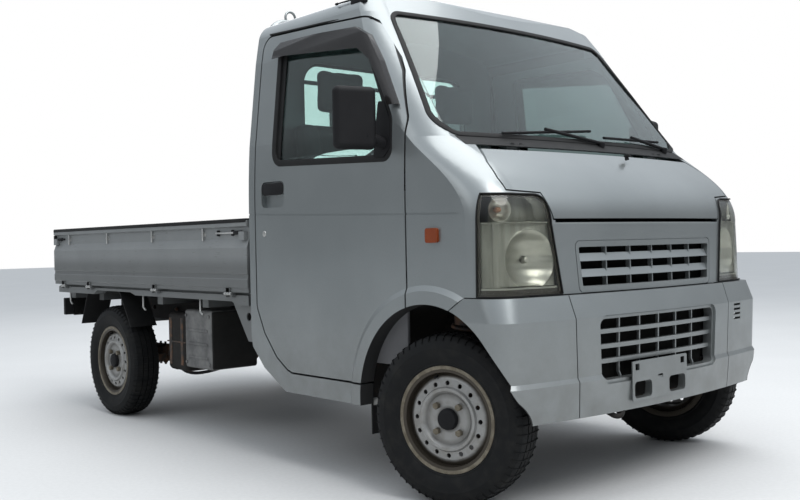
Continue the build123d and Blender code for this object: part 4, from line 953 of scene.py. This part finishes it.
# Seats: two low chairs, each a crowned cushion, a backrest with side rolls and
# a headrest on two posts, in grey woven cloth with sewn seams.
cloth, place, axes = finish_of("grey_seat_cloth")
thread_rate = 2600.0
worn = grain(place, 9.0, 7.0, 0.6)
weave = axes[0].ripple(thread_rate) * (axes[1] + axes[2]).ripple(thread_rate)
shade = worn.blend((0.085, 0.088, 0.092), (0.16, 0.162, 0.165))
shade = (weave * 0.18 + 0.18).blend(shade, (0.26, 0.26, 0.265))
close(
    place, bump=weave * 0.5 + worn, depth=0.0009, strength=0.4, Base_Color=shade, Roughness=0.9,
    Sheen_Weight=0.25, Sheen_Roughness=0.5,
)


def apply_all(piece):
    """Replaces a piece's mesh by what its modifiers make of it."""
    graph = bpy.context.evaluated_depsgraph_get()
    shaped = bpy.data.meshes.new_from_object(piece.evaluated_get(graph))
    piece.modifiers.clear()
    piece.data = shaped
    piece.data.shade_smooth()


last_frame = 20


def puffed(name, form, most):
    """Remeshes a padded form and blows it up as cloth, no point moving beyond most."""
    pad = settle(name, form, cloth, "chassis", 180.0)
    start_remesh = pad.modifiers.new("remesh", "REMESH")
    start_remesh.mode = "VOXEL"
    start_remesh.voxel_size = 0.009
    start_remesh.use_smooth_shade = True
    apply_all(pad)
    before = [vert.co.copy() for vert in pad.data.vertices]
    cloth_sim = pad.modifiers.new("cloth", "CLOTH")
    settings = cloth_sim.settings
    settings.quality = 4
    settings.use_pressure = True
    settings.uniform_pressure_force = 4.0
    settings.effector_weights.gravity = 0.0
    for frame_number in range(1, last_frame + 1):
        bpy.context.scene.frame_set(frame_number)
    apply_all(pad)
    bpy.context.scene.frame_set(1)
    for vert, start_point in zip(pad.data.vertices, before):
        move = vert.co - start_point
        if move.length > most:
            vert.co = start_point + move.normalized() * most
    smooth_out = pad.modifiers.new("subdivide", "SUBSURF")
    smooth_out.levels = smooth_out.render_levels = 1
    apply_all(pad)
    return pad


def seam(pad, axis, at, low, high, depth=0.006, wide=0.006):
    """Presses a sewn channel into a pad where it crosses a plane, between two limits."""
    other = 1 if axis != 1 else 2
    for vert in pad.data.vertices:
        away = abs(vert.co[axis] - at)
        if away < 3 * wide and low < vert.co[other] < high:
            vert.co -= vert.normal * depth * math.exp(-((away / wide) ** 2))


seat_forms = {
    "seat_cushion": [(0.098, 0.572, 0.744), (0.562, 0.938, 0.862), 0.030, 0.012],
    "seat_backrest": [(0.108, 0.862, 0.868), (0.552, 0.942, 1.326), 0.030, 0.010],
    "seat_headrest": [(0.216, 0.900, 1.370), (0.444, 0.954, 1.542), 0.022, 0.007],
}
for name, (low, high, edge, most) in seat_forms.items():
    form = bmesh.new()
    add_block(form, low, high, edge)
    if name == "seat_backrest":
        for vert in form.verts:
            vert.co.y += (vert.co.z - 0.868) * 0.092
    pad = puffed(f"{name}_left", form, most)
    if name == "seat_cushion":
        for x in (0.190, 0.470):
            seam(pad, 0, x, 0.58 + axle_y, 0.93 + axle_y)
    if name == "seat_backrest":
        for x in (0.195, 0.465):
            seam(pad, 0, x, 0.80 + axle_y, 1.00 + axle_y)
    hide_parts("seats")
    twin = pad.copy()
    twin.name = f"{name}_right"
    twin.data = pad.data.copy()
    twin.data.transform(Matrix.Translation((-0.660, 0.0, 0.0)))
    bpy.context.scene.collection.objects.link(twin)
    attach(twin, "chassis")
    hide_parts("seats")
dress(cloth, "seats")
posts = bmesh.new()
for x in (0.280, 0.380):
    add_rod(posts, (x, 0.930, 1.296), (x, 0.930, 1.385), 0.006, 14, edge=0.001)
for x in (0.130, 0.530):
    add_block(posts, (x - 0.012, 0.560, 0.7395), (x + 0.012, 0.930, 0.7475), 0.002)
settle_pair("seat_posts_and_runners", posts, zinc, "chassis")

# Dashboard: grey moulding with a hooded instrument case, air vents, a radio, a
# glove box and a small steering wheel in black; pedals and levers below it.
dash_skin, place, axes = finish_of("dashboard_and_wheel_skin")
pebble = pebbles(place, 700.0)
fade = grain(place, 9.0, 5.0)
moulding = fade.blend((0.075, 0.076, 0.080), (0.115, 0.116, 0.120))
steering_wheel = fade.blend((0.016, 0.016, 0.017), (0.03, 0.03, 0.031))
shade = ((axes[1] - axle_y + axes[2] * 0.70) > 0.80).blend(moulding, steering_wheel)
close(place, bump=pebble, depth=0.0005, strength=0.4, Base_Color=shade, Roughness=0.6)
dress(dash_skin, "dashboard")
details = bmesh.new()
add_block(details, (-0.470, -0.030, 1.060), (-0.190, 0.050, 1.120), 0.016)
for x, z in ((-0.580, 1.020), (0.580, 1.020), (-0.080, 1.025), (0.080, 1.025)):
    add_block(details, (x - 0.055, 0.018, z - 0.022), (x + 0.055, 0.042, z + 0.022), 0.004)
    for step in range(4):
        low = z - 0.016 + step * 0.0095
        add_block(details, (x - 0.048, 0.040, low), (x + 0.048, 0.046, low + 0.003))
add_block(details, (-0.090, 0.022, 0.925), (0.090, 0.050, 0.975), 0.003)
for x in (-0.060, 0.0, 0.060):
    add_rod(details, (x, 0.045, 0.945), (x, 0.060, 0.943), 0.014, 24, edge=0.002)
settle("dashboard_details", details, black_plastic, "chassis")
dial = bmesh.new()
for x in (-0.385, -0.275):
    add_rod(dial, (x, 0.046, 1.088), (x, 0.052, 1.087), 0.024, 40, edge=0.001)
add_block(dial, (0.160, 0.020, 0.925), (0.520, 0.0475, 0.990), 0.004)
settle("dials_and_glove_box", dial, trim_card, "chassis")
controls = bmesh.new()
for x in (-0.420, -0.330, -0.235):
    add_rod(controls, (x, -0.180, 0.640), (x, -0.100, 0.520), 0.006, 12)
    add_block(controls, (x - 0.026, -0.118, 0.488), (x + 0.026, -0.096, 0.552), 0.004)
add_rod(controls, (-0.060, 0.360, 0.410), (-0.045, 0.330, 0.700), 0.007, 14)
add_rod(controls, (-0.045, 0.330, 0.690), (-0.044, 0.326, 0.745), 0.021, 20, tip=0.016, edge=0.006)
add_rod(controls, (-0.060, 0.360, 0.408), (-0.058, 0.356, 0.470), 0.060, 24, tip=0.018)
add_block(controls, (0.010, 0.480, 0.735), (0.035, 0.690, 0.762), 0.008)
settle("pedals_and_levers", controls, black_plastic, "chassis")
between_wells = 0.382
wells_end = 0.362
mat = bmesh.new()
add_block(mat, (-between_wells, -0.290, 0.4100), (between_wells, wells_end, 0.4150), 0.002)
add_block(mat, (-0.600, wells_end, 0.4100), (0.600, 0.515, 0.4150), 0.002)
for index in range(19):
    x = -0.558 + index * 0.062
    ahead_end = -0.270 if abs(x) < between_wells - 0.007 else wells_end + 0.010
    add_block(mat, (x - 0.003, ahead_end, 0.4145), (x + 0.003, 0.500, 0.4170))
settle("floor_mat", mat, rubber, "chassis")

# Front: black radiator, and a near-black liner of painted shade behind the two
# grilles, washer nozzle, wiper spindles and the towing hook under the bumper.
dress(chassis_black, "cab_floor")
dress(black_plastic, "wipers")
fin_black_and_shade, place, axes = finish_of("radiator_black_and_painted_shade")
fins = axes[2].ripple(1800.0)
# Near-black: the radiator's own black, and painted shade on the liner behind the upper grille, which darkens
# its gaps.
shade = grain(place, 20.0, 6.0).blend((0.002, 0.002, 0.002), (0.007, 0.007, 0.006))
close(place, bump=fins, depth=0.001, strength=0.5, Base_Color=shade, Roughness=0.9, Specular_IOR_Level=0.1)
core = bmesh.new()
add_block(core, (-0.300, -0.332, 0.385), (0.300, -0.315, 0.600), 0.003)
add_block(core, (-0.400, -0.291, 0.648), (0.400, -0.285, 0.860), 0.001)
for z in (0.372, 0.612):
    add_block(core, (-0.310, -0.334, z - 0.014), (0.310, -0.306, z + 0.014), 0.004)
settle("radiator_and_shade_sheet", core, fin_black_and_shade, "chassis")
small = bmesh.new()
add_rod(small, (0.068, -0.200, 1.108), (0.068, -0.196, 1.126), 0.008, 18, tip=0.006, edge=0.002)
add_block(small, (0.060, -0.214, 1.118), (0.076, -0.190, 1.127), 0.003)
settle("washer_nozzle", small, black_plastic, "front_lid")
spindles = bmesh.new()
for x, y, z in ((0.060, -0.092, 1.172), (0.510, -0.057, 1.176)):
    add_rod(spindles, (x, y, z - 0.014), (x, y - 0.006, z + 0.010), 0.013, 20, edge=0.003)
settle("wiper_spindles", spindles, black_plastic, "chassis")
tow = [
    (-0.215, -0.315, 0.296), (-0.215, -0.352, 0.292), (-0.222, -0.372, 0.276), (-0.240, -0.376, 0.262),
    (-0.262, -0.368, 0.264), (-0.268, -0.345, 0.276), (-0.268, -0.310, 0.290),
]
bend("tow_hook", tow, 0.0085, chassis_black, "chassis", soft=True)

# Hoop and aerial: painted collars where the window guard's bars and the hoop's
# feet are welded behind the cab, and a folded aerial on the roof's edge.
aerial = bmesh.new()
add_block(aerial, (-0.653, 0.372, 1.676), (-0.633, 0.450, 1.704), 0.006)
add_rod(aerial, (-0.643, 0.440, 1.7005), (-0.647, 0.530, 1.7010), 0.0035, 12, tip=0.0026)
add_rod(aerial, (-0.647, 0.528, 1.7010), (-0.647, 0.541, 1.7011), 0.0045, 12, edge=0.001)
settle("aerial", aerial, black_plastic, "chassis")
joins = bmesh.new()
for z in (1.090, 1.300, 1.510):
    add_rod(joins, (0.578, 1.051, z), (0.588, 1.051, z), 0.0115, 20, edge=0.002)
for z in (0.932, 0.940):
    add_block(joins, (0.575, 1.040, z - 0.002), (0.625, 1.064, z + 0.004), 0.002)
settle_pair("hoop_joints", joins, paint, "chassis")

# Gates: folded steel sides with a rubber strip along the top rail, short rope
# pins in the recess, a latch at each end and bright hinges below.
hinge_height = 0.638
pin_low, pin_middle, pin_high = 0.8565, 0.884, 0.909
rod_height = 0.886
strip = bmesh.new()
add_block(strip, (0.7005, 1.044, 0.9325), (0.7335, 2.994, 0.9420), 0.003)
add_block(strip, (0.7305, 1.044, 0.9260), (0.7345, 2.994, 0.9380), 0.0015)
add_block(strip, (0.7190, 2.982, 0.8620), (0.7335, 2.996, 0.9080), 0.003)
settle_pair("gate_rubber", strip, rubber, "gate_SIDE")
pins = bmesh.new()
for station in (1.392, 1.856, 2.334, 2.801):
    add_rod(pins, (0.7265, station, pin_high), (0.7265, station, pin_low), 0.0042, 12, edge=0.001)
    add_rod(pins, (0.7170, station, pin_middle), (0.7300, station, pin_middle), 0.0055, 12, edge=0.001)
    add_block(pins, (0.7180, station - 0.012, 0.874), (0.7205, station + 0.012, 0.894), 0.001)
for station in (1.189, 1.834, 2.554, 2.878):
    for y in (station - 0.018, station, station + 0.018):
        low, high = (0.7315, y - 0.0065, hinge_height), (0.7315, y + 0.0065, hinge_height)
        add_rod(pins, low, high, 0.0068, 18, edge=0.0012)
    add_block(pins, (0.7300, station - 0.014, 0.640), (0.7345, station + 0.014, 0.664), 0.0015)
add_rod(pins, (0.7265, 1.060, rod_height), (0.7265, 1.283, rod_height), 0.0045, 14, edge=0.001)
settle_pair("gate_pins_and_hinges", pins, zinc, "gate_SIDE")
latch = bmesh.new()
for low, high in ((1.082, 1.140), (2.890, 2.930)):
    add_block(latch, (0.7200, low, 0.8780), (0.7340, high, 0.8940), 0.004)
for station in (1.150, 1.262):
    add_block(latch, (0.7185, station, 0.8740), (0.7290, station + 0.012, 0.8980), 0.002)
add_rod(latch, (0.7265, 2.978, rod_height), (0.7265, 2.860, rod_height), 0.0045, 14, edge=0.001)
settle_pair("gate_latches", latch, black_plastic, "gate_SIDE")
strip = bmesh.new()
add_block(strip, (-0.690, 2.9655, 0.9325), (0.690, 2.9985, 0.9420), 0.003)
settle("tailgate_rubber", strip, rubber, "tailgate")
pins = bmesh.new()
for x in (-0.520, -0.180, 0.180, 0.520):
    add_rod(pins, (x, 2.9915, pin_high), (x, 2.9915, pin_low), 0.0042, 12, edge=0.001)
    add_rod(pins, (x, 2.9820, pin_middle), (x, 2.9950, pin_middle), 0.0055, 12, edge=0.001)
for middle in (-0.560, -0.190, 0.190, 0.560):
    for x in (middle - 0.018, middle, middle + 0.018):
        low, high = (x - 0.0065, 2.9965, hinge_height), (x + 0.0065, 2.9965, hinge_height)
        add_rod(pins, low, high, 0.0068, 18, edge=0.0012)
settle("tailgate_pins_and_hinges", pins, zinc, "tailgate")

# Lamps at the sides and rear: ribbed amber and red lenses in black cases, and
# the light over the rear plate.
amber, place, axes = finish_of("amber_lens")
rib_rate = 900.0
rib = axes[1].ripple(rib_rate)
shade = grain(place, 40.0, 4.0).blend((0.16, 0.030, 0.008), (0.24, 0.050, 0.012))
close(place, bump=rib, depth=0.0006, strength=0.5, Base_Color=shade, Roughness=0.25, Specular_IOR_Level=0.3)
dress(amber, "marker_lamps")
red, place, axes = finish_of("rear_lamp_lens")
rib = axes[0].ripple(rib_rate)
red_end, turn_end, lens_front = 0.608, 0.652, 2.9745
far = axes[0].size()
shade = (far > red_end).blend((0.45, 0.015, 0.012), (0.55, 0.16, 0.03))
shade = (far > turn_end).blend(shade, (0.55, 0.54, 0.52))
shade = (axes[1] < axle_y + lens_front).blend(shade, (0.010, 0.010, 0.010))
close(place, bump=rib, depth=0.0006, strength=0.5, Base_Color=shade, Roughness=0.25, Specular_IOR_Level=0.4)
dress(red, "rear_lamps")
case = bmesh.new()
add_block(case, (0.514, 2.946, 0.474), (0.696, 2.972, 0.566), 0.004)
for x in (red_end, turn_end):
    add_block(case, (x - 0.0015, 2.970, 0.480), (x + 0.0015, 2.9835, 0.560))
settle_pair("rear_lamp_cases", case, black_plastic, "chassis")
lit = bmesh.new()
add_block(lit, (-0.060, 2.962, 0.556), (0.060, 2.984, 0.592), 0.004)
settle("plate_light", lit, black_plastic, "chassis")
